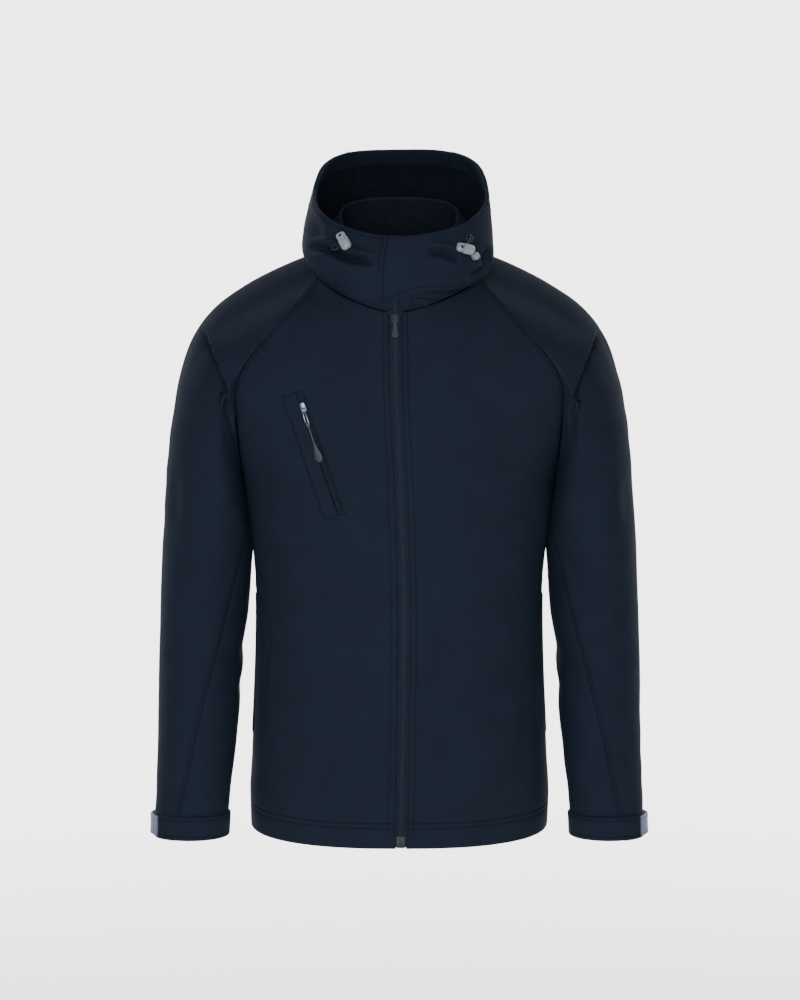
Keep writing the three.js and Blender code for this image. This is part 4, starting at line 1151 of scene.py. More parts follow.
SLEEVE_FOLDS = [
    Fold("front", [(175, 470), (175, 500), (174, 530)], 7, 2.4, 0.8),
    Fold("front", [(158, 815), (195, 818), (231, 821)], 2.2, 2.6, 0.0),
    Fold("front", [(232, 640), (224, 652), (206, 668)], 8, 2.2, 1.2),
    Fold("front", [(236, 672), (226, 690), (204, 706)], 8, 1.8, 1.0),
    Fold("front", [(168, 640), (182, 655), (204, 660)], 10, 1.5, 0.7),
    Fold("front", [(232, 560), (222, 590), (206, 612)], 9, 1.5, 0.8),
    Fold("front", [(164, 780), (190, 786), (224, 778)], 9, 1.6, 0.8),
    Fold("front", [(160, 752), (184, 760), (214, 750)], 10, 1.2, 0.6),
    Fold("back", [(170, 560), (200, 580), (238, 566)], 10, 3.0, 1.3),
    Fold("back", [(166, 610), (198, 628), (240, 622)], 10, 2.8, 1.2),
    Fold("back", [(164, 668), (196, 676), (232, 662)], 9, 2.0, 0.9),
    Fold("back", [(206, 330), (228, 380), (240, 440)], 12, 3.0, 1.2),
    Fold("back", [(164, 775), (190, 784), (224, 774)], 9, 1.6, 0.8),
]
HOOD_FOLDS = [
    Fold("front", [(306, 247), (328, 249), (346, 257), (378, 263)], 4.6, 14, 7.5),
    Fold("front", [(420, 297), (445, 293), (474, 286)], 5, 7.0, 0.0),
    Fold("front", [(324, 282), (345, 288), (372, 290)], 7, 2.4, 1.4),
    Fold("front", [(426, 250), (446, 253), (462, 260)], 4.6, 9.0, 4.2),
    Fold("front", [(489, 246), (484, 268), (462, 284)], 5, 9.0, 4.5),
    Fold("front", [(498, 250), (486, 254), (470, 266)], 5, 4.6, 2.4),
    Fold("front", [(306, 204), (316, 226), (322, 244)], 7, 2.8, 1.6),
    Fold("front", [(494, 200), (484, 222), (478, 240)], 7, 3.2, 1.8),
    Fold("back", [(312, 205), (344, 240), (396, 248)], 9, 7.0, 3.4),
    Fold("back", [(490, 208), (462, 240), (414, 246)], 9, 6.2, 3.0),
    Fold("back", [(322, 200), (352, 226), (392, 232)], 9, 3.6, 1.8),
    Fold("back", [(484, 206), (452, 236), (414, 238)], 9, 3.2, 1.5),
]


# What a user may change --------------------------------------------------------------------------

def length(name, description, default):
    return FloatProperty(
        name=name, description=description, default=default, min=0.0001, max=2.0,
        subtype="DISTANCE", unit="LENGTH", precision=4,
    )


def shade(name, use, default):
    return StringProperty(name=name, description=use + ", sRGB hex", default=default)


def amount(name, description, default):
    return FloatProperty(name=name, description=description, default=default)


class JacketCloth(bpy.types.PropertyGroup):
    shell: length("Softshell", "Thickness of the bonded cloth", 0.002)
    collar: length("Collar", "Thickness of the two-layer collar", 0.0036)
    hem_turn: length("Hem turning", "What the turned hem adds to the cloth", 0.0012)
    hem_height: length("Hem height", "How far up the hem is turned", 0.034)
    rim_height: length("Hood channel", "How deep the drawcord channel at the rim is", 0.028)


class JacketSewing(bpy.types.PropertyGroup):
    stitch: length("Stitch", "Distance from one stitch to the next", 0.0034)
    thread: length("Thread", "Thickness of the sewing thread as drawn", 0.0013)
    first_row: length("First row", "Distance of the first topstitching row from its seam", 0.0018)
    second_row: length("Second row", "Distance of the second row from its seam", 0.0056)


class JacketZip(bpy.types.PropertyGroup):
    pitch: length("Teeth", "Distance from one coil turn to the next", 0.0018)
    coil_width: length("Coil", "Width of one side of the coil", 0.0032)


class JacketColours(bpy.types.PropertyGroup):
    shell: shade("Softshell", "Face cloth", "#111722")
    lining: shade("Lining", "Fleece", "#090e16")
    thread: shade("Thread", "Sewing", "#04060a")
    zip: shade("Zip tape", "Tape", "#111823")
    coil: shade("Zip coil", "Coil", "#1b2330")
    pull: shade("Puller", "Puller", "#151c27")
    # On the centre zip's slider this dark colour is also painted shade of the storm flap's shadow.
    dark: shade("Dark metal", "Painted slider", "#0c1117")
    metal: shade("Metal", "Sliders", "#646d7a")
    lock: shade("Cord lock", "Cord locks", "#666d76")
    tab: shade("Cuff tab", "Cuff tabs", "#3f4863")
    cord: shade("Cord", "Elastic", "#10141b")
    paper: shade("Backdrop", "Studio paper", "#efefef")


class JacketStudio(bpy.types.PropertyGroup):
    key: amount("Key light", "Power of the large front light", 215)
    fill: amount("Fill light", "Power of each side light", 8)
    paper: amount("Backdrop light", "Power of each light on the paper", 730)
    world: amount("World", "Strength of the even light", 0.42)


# Operators ---------------------------------------------------------------------------------------

class JACKET_OT_camera(bpy.types.Operator):
    """Places the camera where the photograph was taken from"""
    bl_idname = "jacket.camera"
    bl_label = "Camera"

    def execute(self, context):
        data = bpy.data.cameras.new("camera")
        data.sensor_fit = "VERTICAL"
        data.sensor_height = 36
        data.lens = 36 * VIEW_FOCUS / 1000
        camera = linked("camera", data)
        camera.location = Vector(VIEW_FROM) * MM
        camera.rotation_euler = Vector(VIEW_AHEAD).to_track_quat("-Z", "Y").to_euler()
        context.scene.camera = camera
        return {"FINISHED"}


class JACKET_OT_studio(bpy.types.Operator):
    """Adds the pale floor that sweeps up into a backdrop, and soft studio light"""
    bl_idname = "jacket.studio"
    bl_label = "Floor, backdrop and light"

    def execute(self, context):
        studio = context.scene.jacket_studio
        half, floor, wall_y, radius = 12000, -1450, 7600, 2600
        near, joint, top = -9000, -3000, 9000
        turn = np.radians(np.linspace(0, 90, 24))
        y = np.concatenate(([near, joint], wall_y - radius + radius * np.sin(turn), [wall_y]))
        z = np.concatenate(([floor, floor], floor + radius * (1 - np.cos(turn)), [top]))
        x = np.array((-half, half), float)
        points = stack(x[None, :], y[:, None], z[:, None])
        faces = grid_faces(len(y), 2, 0, False)
        sweep = mesh_from("backdrop", points.reshape(-1, 3), faces)
        sweep.data.materials.append(finish("paper"))
        world = bpy.data.worlds.new("studio")
        world.use_nodes = True
        background = world.node_tree.nodes["Background"]
        background.inputs["Color"].default_value = (1, 1, 1, 1)
        background.inputs["Strength"].default_value = studio.world
        context.scene.world = world
        jacket, paper = (0, 0, -0.3), (0, 6.4, -0.8)
        lights = (
            ("key", (-0.3, -3.9, 0.35), 2.4, studio.key, jacket),
            ("fill_left", (-2.6, -2.6, 0.2), 2.0, studio.fill, jacket),
            ("fill_right", (2.6, -2.6, 0.2), 2.0, studio.fill, jacket),
            ("paper_left", (-3.4, 3.4, 2.2), 2.4, studio.paper, paper),
            ("paper_right", (3.4, 3.4, 2.2), 2.4, studio.paper, paper),
        )
        for name, place, size, power, target in lights:
            data = bpy.data.lights.new(name, "AREA")
            data.size = size
            data.energy = power
            light = linked(name, data)
            light.location = place
            aim = Vector(target) - Vector(place)
            light.rotation_euler = aim.to_track_quat("-Z", "Y").to_euler()
        return {"FINISHED"}


def rows_of(context):
    sewing = context.scene.jacket_sewing
    return (sewing.first_row / MM, sewing.second_row / MM)


def hem_thickness(points, cloth_settings):
    """The cloth's thickness over a panel whose lowest edge is turned up."""
    up = run_lengths(points, 0)
    turned = up < cloth_settings.hem_height / MM
    return (cloth_settings.shell + cloth_settings.hem_turn * turned) / MM


HEM_ROWS = (25.0, 31.5)
ZIP_ROWS = (1.8, 9.0)
HAND_POCKET = (140, 325)  # from and to, above the hem
POCKET_SLIT = np.array(((297.5, 393.0), (338.5, 515.0)))  # in the photograph's pixels


def pocket_moves(points):
    """The chest pocket's slit and the soft dip beside it."""
    gap, along, _ = from_line(seen_at(points), POCKET_SLIT)
    inside = smooth(along / 0.02) * smooth((1 - along) / 0.02)
    return -2.0 * bell(gap * PIXEL, 3.0) * inside


class JACKET_OT_body(bpy.types.Operator):
    """Builds both fronts and the back"""
    bl_idname = "jacket.body"
    bl_label = "Fronts and back"

    def execute(self, context):
        settings = context.scene.jacket_cloth
        levels = spaced(HEM, NECK, 210)
        rows = rows_of(context)
        for side, name in ((-1, "front_right"), (1, "front_left")):
            surface = lambda across, level, side=side: front_point(side, across, level)
            seams = {
                "left": (0.5, ZIP_ROWS), "right": (0.9, ()), "bottom": (0.2, HEM_ROWS),
                "top": (1.0, ()),
            }
            points, normals = shaped(
                surface, spaced(0, 1, 84), levels, side, 1, seams, BODY_FOLDS, 0.55, side * 0.8,
            )
            if side < 0:
                points, normals = raised(points, normals, pocket_moves(points))
            points, normals = hand_pocket_dip(points, normals)
            piece = cloth(
                name + "_cloth", points, normals, hem_thickness(points, settings), "softshell",
                "lining",
            )
            wear(piece, name)
            declare_sheet(piece)
        seams = {
            "left": (0.9, ()), "right": (0.9, ()), "bottom": (0.2, HEM_ROWS), "top": (1.0, ()),
        }
        points, normals = shaped(
            back_point, spaced(-1, 1, 136), levels, -1, 1, seams, BODY_FOLDS, 0.7, 2.1,
        )
        piece = cloth(
            "back_cloth", points, normals, hem_thickness(points, settings), "softshell", "lining",
        )
        wear(piece, "back")
        declare_sheet(piece)
        lines = []
        for name in ("front_right_cloth", "front_left_cloth"):
            panel = PIECES[name]
            lines += [inset_line(panel, "left", inset, -0.15, 0.04) for inset in ZIP_ROWS]
            lines += [inset_line(panel, "bottom", inset, 0.1) for inset in HEM_ROWS]
            lines += [inset_line(panel, "right", inset, 0.1, 0.55) for inset in rows]
        panel = PIECES["back_cloth"]
        lines += [inset_line(panel, "bottom", inset, 0.1) for inset in HEM_ROWS]
        for edge in ("left", "right"):
            lines += [inset_line(panel, edge, inset, 0.1, 0.55) for inset in rows]
        stitch("stitches_body", lines)
        seam_allowances("seam_allowances_body", (
            ("back_cloth", "left"), ("back_cloth", "right"), ("front_right_cloth", "right"),
            ("front_left_cloth", "right"),
        ))
        return {"FINISHED"}


def hand_pocket_dip(points, normals):
    """The hand pocket's mouth: its front edge stands a little off the side of the front."""
    gaps = edge_gaps(points)
    height = gaps["bottom"]
    low, high = HAND_POCKET
    inside = smooth((height - low) / 14) * smooth((high - height) / 14) * (height > low + 10)
    move = 0.9 * bell(gaps["right"] - 26, 7) - 1.8 * bell(gaps["right"] - 15, 5)
    return raised(points, normals, move * inside)


class JACKET_OT_sleeves(bpy.types.Operator):
    """Builds both raglan sleeves, each from a top and an under piece"""
    bl_idname = "jacket.sleeves"
    bl_label = "Sleeves"

    def execute(self, context):
        shell = context.scene.jacket_cloth.shell / MM
        rows = rows_of(context)
        stations = spaced(0, SLEEVE_END, 204, 0.35)
        lines = []
        for side, name in ((-1, "right"), (1, "left")):
            surface = lambda angle, at, side=side: sleeve_point(side, angle, at)
            folds = [
                Fold(f.face, f.line if side < 0 else mirrored(f.line), f.width, f.depth, f.lip)
                for f in SLEEVE_FOLDS
            ]
            at = stations[:, None]
            ways = spaced(-1, 1, 130, 0.3)[None, :]
            front = read(SLEEVE_SEAM, "at", "front", at)
            back = 360 - read(SLEEVE_SEAM, "at", "back", at)
            top_angles = np.where(ways > 0, ways * front, ways * back)
            under = spaced(-1, 1, 46, 0.3)[None, :]
            under_angles = np.where(
                under < 0,
                mix(UNDERARM_ANGLE, front, -under),
                mix(UNDERARM_ANGLE, 360 - back, under),
            )
            parts = (
                ("top", top_angles, {"left": (0.7, ()), "right": (0.7, ()), "bottom": (0.9, ())}),
                ("under", under_angles, {"left": (0.7, ()), "right": (0.7, ())}),
            )
            for part, angles, seams in parts:
                places = np.broadcast_to(at, angles.shape)
                points, normals = shaped(
                    surface, angles, places, side, 100, seams, folds, 0.5, 1.3 + side,
                )
                crease = ARM_CREASE if side < 0 else mirrored(ARM_CREASE)
                step = crease_moves(points, normals, crease, side)
                points, normals = raised(points, normals, step)
                label = f"sleeve_{name}_{part}"
                piece = cloth(label + "_cloth", points, normals, shell, "softshell", "lining")
                wear(piece, label)
                declare_sheet(piece, 0.45 if part == "top" else 0.0)
            top = PIECES[f"sleeve_{name}_top_cloth"]
            for edge in ("left", "right"):
                lines += [inset_line(top, edge, inset, 0.1, 0.03) for inset in rows]
            lines += [inset_line(top, "top", inset, 0.1) for inset in (22.0,)]
        stitch("stitches_sleeves", lines)
        tops = [f"sleeve_{name}_top_cloth" for name in ("right", "left")]
        seam_allowances(
            "seam_allowances_sleeves",
            [(top, edge) for top in tops for edge in ("left", "right", "bottom")],
        )
        return {"FINISHED"}


class JACKET_OT_hood(bpy.types.Operator):
    """Builds the pushed-back hood, its front flap and the stand collar inside it"""
    bl_idname = "jacket.hood"
    bl_label = "Hood, flap and collar"

    def execute(self, context):
        settings = context.scene.jacket_cloth
        shell, turning = settings.shell / MM, settings.hem_turn / MM
        rim = settings.rim_height / MM
        heights = spaced(0, HOOD_RIM, 70, 0.4)
        back_turn = float(azimuth(back_point(np.array(HOOD_CENTRE_HALF), np.array(float(NECK)))))
        spans = (
            ("hood_right", -back_turn, zip_turn(-1), 150),
            ("hood_left", zip_turn(1), back_turn, 150),
            ("hood_centre", back_turn, 360 - back_turn, 60),
        )
        lines = []
        for name, start, end, count in spans:
            seams = {"left": (0.7, ()), "right": (0.7, ()), "bottom": (1.2, ())}
            points, normals = shaped(
                hood_point, spaced(start, end, count, 0.3), heights, 1, 400, seams, HOOD_FOLDS,
                0.9, 0.4, 0.7,
            )
            lip = edge_gaps(points)["bottom"]
            points, normals = raised(points, normals, 1.1 * bell(lip - 4.0, 2.4))
            from_rim = edge_gaps(points)["top"]
            thickness = shell + 1.8 * turning * smooth((rim - from_rim) / 1.5 + 0.5)
            piece = cloth(
                name + "_cloth", points, normals, thickness, "softshell", "lining", faced=rim,
            )
            wear(piece, name)
            declare_sheet(piece)
            panel = PIECES[name + "_cloth"]
            channel = {"hood_right": (0, 0.45), "hood_left": (0.55, 1)}.get(name, (0, 1))
            lines.append(inset_line(panel, "top", rim, 0.1, *channel))
            lines.append(inset_line(panel, "top", 5.0, 0.1))
            lines.append(inset_line(panel, "bottom", 6.5, 0.1))
            if name != "hood_centre":
                edge = "left" if name == "hood_right" else "right"
                lines += [inset_line(panel, edge, inset, 0.1) for inset in rows_of(context)]
        self.flap(context, lines)
        self.collar(context)
        stitch("stitches_hood", lines)
        seam_allowances("seam_allowances_hood", (
            ("hood_centre_cloth", "left"), ("hood_centre_cloth", "right"),
        ))
        return {"FINISHED"}

    def flap(self, context, lines):
        def surface(turn, share):
            low = read(FLAP_EDGE, "turn", "at", turn)
            at = mix(low, HOOD_RIM - 0.02, np.clip(share, 0, 1))
            between = smooth((turn - 8) / 22) * smooth((80 - turn) / 14)
            stand = 4.0 + 3.5 * (1 - smooth(share / 0.4)) * between
            away = normal_of(hood_point, turn, at, 1, 400) * stand[..., None]
            return hood_point(turn, at) + away

        seams = {
            "left": (0.8, (5.0,)), "right": (0.5, ()), "bottom": (0.5, (6.3,)), "top": (0.5, ()),
        }
        points, normals = shaped(
            surface, spaced(-13, 78, 90), spaced(0, 1, 44), 1, 400, seams, HOOD_FOLDS[3:6], 0.5,
            1.1,
        )
        piece = cloth("hood_flap_cloth", points, normals, 2.4, "softshell", "softshell")
        wear(piece, "hood_flap")
        declare_sheet(piece)
        panel = PIECES["hood_flap_cloth"]
        lines.append(inset_line(panel, "bottom", 6.3, 0.1, 0.05))
        lines.append(inset_line(panel, "left", 5.0, 0.1, 0.08))

    def collar(self, context):
        thick = context.scene.jacket_cloth.collar / MM
        start, end = zip_turn(1), 360 + zip_turn(-1)
        folds = [
            Fold("back", [(372, 214), (392, 226), (420, 236)], 5, 1.2, 0.6),
            Fold("back", [(396, 208), (420, 216), (446, 232)], 5, 1.2, 0.6),
            Fold("back", [(436, 206), (424, 222), (400, 238)], 5, 1.0, 0.5),
        ]
        points, normals = shaped(
            collar_point, spaced(start, end, 240, 0.3), spaced(0, 1, 34, 0.3), 1, 400,
            {"bottom": (0.4, ()), "top": (0.3, (9.0,))}, folds, 0.6, 0.9,
        )
        piece = cloth("collar_cloth", points, normals, thick, "softshell", "lining", 1.2)
        wear(piece, "collar")
        declare_sheet(piece)
        top = points[-1] - normals[-1] * thick / 2 + (0, 0, 0.6)

        def piping(work):
            tube(work, top, 1.5, 10)

        solid("collar_piping", piping, Matrix.Identity(4), "softshell", "jacket")


class JACKET_OT_front_zip(bpy.types.Operator):
    """Builds the centre zip with its tape, coil, slider, puller and bottom box"""
    bl_idname = "jacket.front_zip"
    bl_label = "Centre zip"

    def execute(self, context):
        zip_settings = context.scene.jacket_zip
        levels = np.linspace(0.004, NECK + 0.3, 300)
        reach = ZIP_HALF + 3.5

        def surface(across, level):
            above = np.maximum(level - NECK, 0) / 0.4
            y = read(FRONT_CENTRE, "level", "y", level) + 1.4 - 11 * above
            z = read(FRONT_CENTRE, "level", "z", level) + 29 * above
            return stack(zip_x(level) + across * reach, y, z)

        across, up = np.meshgrid(np.linspace(-1, 1, 15), levels)
        points = surface(across, up)
        normals = normal_of(surface, across, up, 1)
        ridge = 0.8 * bell(across * reach, 2.6) + 0.35 * bell(np.abs(across * reach) - 5.2, 0.8)
        points = points + normals * ridge[..., None]
        piece = cloth("zip_front_tape", points, normals, 1.2, "tape", "tape", 0.3)
        wear(piece, "zip_front")
        lines = []
        for side in (-1, 1):
            shift = 0.5 * zip_settings.pitch / MM * (side > 0)
            fine = np.linspace(0.036, NECK + 0.29, 400)
            place = side * 1.25 / reach
            line = surface(0 * fine + place, fine)
            up_way = normal_of(surface, 0 * fine + place, fine, 1)
            lines.append((line + up_way * 1.3 + (0, 0, shift), up_way))
        lay_rows(
            "zip_front_coil", lines, "jacket", "zip_tape", Pitch=zip_settings.pitch,
            Length=zip_settings.coil_width, Width=0.00105, Height=0.0013, Material="coil",
            Turn=math.radians(78),
        )
        self.hardware()
        return {"FINISHED"}

    def hardware(self):
        low, high = (Vector(corner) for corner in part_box("zip_foot"))
        middle = (low + high) / 2 / MM
        place = Place((middle.x, low.y / MM + 3.4, middle.z), (0, -1, 0))

        def foot(work):
            prism(work, round_outline(11.5, 14.5, 1.5, 4), 0, 2.6)
            prism(work, round_outline(4.2, 12.5, 1.4, 4), 2.3, 3.5, (-2.9, 0))
            prism(work, round_outline(4.2, 12.5, 1.4, 4), 2.3, 3.5, (2.9, 0))

        solid(
            "zip_foot_box", foot, lay_matrix(place, (0, 0, 1)), "dark", "jacket", 0.4,
            node="zip_foot",
        )
        hinge = next(j for j in frame["joints"] if j["name"] == "front_pull_hinge")
        axis_at = Vector(hinge["pos_m"]) / MM
        normal = Vector((0, -0.9676, 0.2525))
        matrix = lay_matrix(Place(axis_at, normal), (0, 0, 1))

        def slider(work):
            prism(work, round_outline(9.4, 11.4, 2.6), -5.1, -3.9, (0, 1.5))
            prism(work, round_outline(8.4, 10.4, 2.4), -3.0, -1.9, (0, 1.5))
            prism(work, round_outline(4.2, 8.0, 1.6), -4.2, -2.8, (0, 1.5))
            lugs(work, 2.85, 2.9)

        # The slider's dark finish is partly painted shade of the storm flap's shadow over it.
        solid(
            "zip_slider_body", slider, matrix, "dark", "jacket", 0.25,
            node="zip_slider",
        )
        puller("zip_puller", matrix, "front_pull", "zip_pull")


def puller(name, matrix, body, node):
    """A moulded puller: a knuckle, a neck that widens to a round end, and a sunk middle."""
    neck, neck_length, end, end_at, thick, tilt, steps = 4.2, 5.0, 8.6, 24.0, 2.2, 4.0, 14

    def outline(shrink):
        radius = end / 2 - shrink
        top = -shrink if shrink else 0
        points = [(-neck / 2 + shrink * 0.5, top), (neck / 2 - shrink * 0.5, top)]
        points.append((neck / 2 - shrink * 0.5, -neck_length))
        for i in range(steps + 1):
            turn = -math.pi * i / steps
            points.append((radius * math.cos(turn), -end_at + end / 2 + radius * math.sin(turn)))
        points.append((-neck / 2 + shrink * 0.5, -neck_length))
        return points[::-1]

    def build(work):
        edge, inner = outline(0.0), outline(1.1)
        levels = (
            (edge, -thick / 2), (edge, thick / 2 - 0.1), (outline(0.35), thick / 2 + 0.1),
            (inner, thick / 2 + 0.1), (outline(1.4), thick / 2 - 0.5),
        )
        rings = [[work.verts.new((x, y, z)) for x, y in ring] for ring, z in levels]
        skin(work, rings)
        bmesh.ops.rotate(
            work, verts=work.verts, cent=(0, 0, 0),
            matrix=Matrix.Rotation(-math.radians(tilt), 3, "X"),
        )
        knuckle(work, neck / 2)

    solid(name, build, matrix, "rubber", body, node=node)


POCKET_TOP = np.array((-125.6, -151.4))
POCKET_FOOT = np.array((-75.4, -295.6))
POCKET_DOWN = (POCKET_FOOT - POCKET_TOP) / np.linalg.norm(POCKET_FOOT - POCKET_TOP)
POCKET_OUT = np.array((POCKET_DOWN[1], -POCKET_DOWN[0]))
POCKET_LENGTH = float(np.linalg.norm(POCKET_FOOT - POCKET_TOP))
POCKET_WELT = 19.0
POCKET_ZIP = 6.2
POCKET_COIL = -3.4  # the coil's middle, out from the slit


def on_pocket(out, down, lift=0.0):
    """A place on the chest pocket, by its distance out from the slit and down from its top."""
    out, down = np.broadcast_arrays(np.asarray(out, float), np.asarray(down, float))
    x = POCKET_TOP[0] + POCKET_DOWN[0] * down + POCKET_OUT[0] * out
    z = POCKET_TOP[1] + POCKET_DOWN[1] * down + POCKET_OUT[1] * out
    return on_front(-1, x, z, lift)


class JACKET_OT_chest_pocket(bpy.types.Operator):
    """Builds the chest pocket's welt, zip, slider and puller"""
    bl_idname = "jacket.chest_pocket"
    bl_label = "Chest pocket"

    def execute(self, context):
        outs, downs = spaced(0, POCKET_WELT, 22), spaced(-5, POCKET_LENGTH + 5, 100)
        across, along = np.meshgrid(outs, downs)
        place = on_pocket(across, along, 0.0)
        gaps = edge_gaps(place.point)
        edge = np.minimum.reduce([gaps["right"], gaps["bottom"], gaps["top"]])
        rise = 0.15 + 0.9 * smooth(edge / 4) - 0.35 * bell(edge - 5.5, 1.0)
        rise = rise + 0.7 * bell(gaps["left"] - 2.2, 2.2)
        points, normals = raised(place.point, place.normal, rise)
        piece = cloth("pocket_welt_cloth", points, normals, 1.4, "softshell", "softshell", 0.5)
        wear(piece, "pocket_welt")
        declare_sheet(piece)
        outs = np.linspace(-POCKET_ZIP - 0.3, 1.0, 9)
        across, along = np.meshgrid(outs, np.linspace(-1, POCKET_LENGTH + 1, 90))
        place = on_pocket(across, along, 0.0)
        sunk = -0.9 + 0.9 * bell(across - POCKET_COIL, 1.6)
        points = place.point + place.normal * sunk[..., None]
        # The zip tape takes the nearly black lining finish as painted shade of the slit's recess.
        piece = cloth("pocket_zip_tape_painted_shade", points, place.normal, 0.8, "lining", "lining", 0.2)
        wear(piece, "pocket_zip")
        lines = []
        run = np.linspace(0, POCKET_LENGTH, 160)
        for side in (-1, 1):
            place = on_pocket(POCKET_COIL + side * 0.9, run + 0.4 * side, 0.35)
            lines.append((place.point, place.normal))
        lay_rows(
            "pocket_zip_coil", lines, "jacket", "zip_tape", Pitch=0.0016, Length=0.0024,
            Width=0.0009, Height=0.001, Material="coil", Turn=math.radians(78),
        )
        lines = []
        share = np.linspace(0, 1, 60)
        low, high = -2.5, POCKET_LENGTH + 2.5
        for out, lift in ((POCKET_WELT - 2.4, 1.1), (-POCKET_ZIP - 2.6, 0.25)):
            box = ((out, low + 0.5, out, high - 0.5), (0, low, out, low), (0, high, out, high))
            for out_a, down_a, out_b, down_b in box:
                place = on_pocket(mix(out_a, out_b, share), mix(down_a, down_b, share), lift)
                lines.append((place.point, place.normal))
        stitch("stitches_pocket", lines)
        self.hardware()
        return {"FINISHED"}

    def hardware(self):
        hinge = next(j for j in frame["joints"] if j["name"] == "chest_pull_hinge")
        up = (-POCKET_DOWN[0], 0, -POCKET_DOWN[1])
        flat = on_pocket(POCKET_COIL, 19.0)
        matrix = lay_matrix(Place(Vector(hinge["pos_m"]) / MM, flat.normal), up)

        def slider(work):
            prism(work, round_outline(6.0, 12.0, 2.2), -4.5, -3.6, (0, 2))
            prism(work, round_outline(5.4, 11.0, 2.0), -2.8, -1.9, (0, 2))
            prism(work, round_outline(2.6, 8.0, 1.0), -3.8, -2.6, (0, 2))
            lugs(work, 2.05, 2.1)

        solid(
            "pocket_slider_body", slider, matrix, "metal", "jacket", 0.25,
            node="pocket_slider",
        )

        def loop(work):
            turn = np.radians(np.linspace(0, 360, 28))
            ring = np.stack((1.7 * np.sin(turn), -12.5 + 11.5 * np.cos(turn), 0 * turn), axis=-1)
            tube(work, ring, 0.75, 8)
            knuckle(work, 1.3)

        solid("pocket_puller_wire", loop, matrix, "metal", "chest_pull")

        def tab(work):
            steps = 20
            stations = []
            for i in range(steps + 1):
                share = i / steps
                end = 1 - 0.5 * smooth((share - 0.9) / 0.1)
                width = mix(1.3, 5.0, smooth((share - 0.42) / 0.45)) * end
                thick = mix(0.9, 1.25, smooth((share - 0.42) / 0.3)) * end
                stations.append((width, thick, mix(-22, -68, share)))
            rings = []
            for width, thick, y in stations:
                ring = []
                for k in range(16):
                    turn = 2 * math.pi * k / 16
                    c, s = math.cos(turn), math.sin(turn)
                    px = width * math.copysign(abs(c) ** 0.6, c)
                    pz = thick * math.copysign(abs(s) ** 0.6, s)
                    ring.append(work.verts.new((px, y, pz)))
                rings.append(ring)
            skin(work, rings)

        solid(
            "pocket_puller_tab", tab, matrix, "rubber", "chest_pull",
            node="pocket_pull",
        )


class JACKET_OT_hand_pockets(bpy.types.Operator):
    """Builds the narrow welts of the hand pockets in the side seams"""
    bl_idname = "jacket.hand_pockets"
    bl_label = "Hand pockets"

    def execute(self, context):
        lines = []
        for side, name in ((-1, "right"), (1, "left")):
            surface = lambda across, level, side=side: front_point(side, across, level)
            points, normals = patch(
                surface, spaced(0.9, 0.965, 14), spaced(0.27, 0.68, 110), side, 1,
                lambda gaps, _: 0.2 + 1.2 * smooth(nearest(gaps) / 3),
            )
            label = f"hand_pocket_{name}"
            piece = cloth(label + "_welt", points, normals, 1.3, "softshell", "softshell", 0.5)
            wear(piece, label)
            declare_sheet(piece)
            lines.append(inset_line(PIECES[label + "_welt"], "left", 2.0, 0.1))
        stitch("stitches_hand_pockets", lines)
        return {"FINISHED"}


class JACKET_OT_cuffs(bpy.types.Operator):
    """Builds the cuff straps and the rubber tabs that close them"""
    bl_idname = "jacket.cuffs"
    bl_label = "Cuffs"

    def execute(self, context):
        def strap_rise(gaps, _):
            edge = np.minimum(gaps["bottom"], gaps["top"])
            return 2.2 + 0.8 * smooth(edge / 3) - 0.35 * bell(edge - 4.5, 1.0)

        def tab_rise(gaps, angle):
            edge, flare = nearest(gaps), 7 * smooth((31 - angle) / 60)
            return 2.4 + flare + 0.5 * smooth(edge / 2) - 0.5 * smooth((edge - 3) / 1.2)

        lines = []
        for side, name in ((-1, "right"), (1, "left")):
            surface = lambda angle, at, side=side: sleeve_point(side, angle, at)
            points, normals = patch(
                surface, spaced(33, 318, 110), spaced(13.2, 13.97, 26), side, 100, strap_rise,
            )
            label = f"cuff_strap_{name}"
            piece = cloth(label + "_cloth", points, normals, 2.0, "softshell", "softshell", 0.8)
            wear(piece, label)
            declare_sheet(piece)
            strap = PIECES[label + "_cloth"]
            lines += [inset_line(strap, edge, 4.5, 0.1) for edge in ("bottom", "top")]
            points, normals = patch(
                surface, spaced(31, -52, 56), spaced(13.26, 13.93, 20), side, 100, tab_rise,
            )
            label = f"cuff_tab_{name}"
            piece = cloth(label + "_rubber", points, normals, 2.2, "tab", "tab", 0.7)
            wear(piece, label)
        stitch("stitches_cuffs", lines)
        return {"FINISHED"}


LOCKS = (
    dict(name="right", x=-65, z=33, lean=36, eye_x=-78, eye_z=29, base=0.4),
    dict(name="left", x=75.6, z=24, lean=77, eye_x=84, eye_z=38, base=3.7),
)


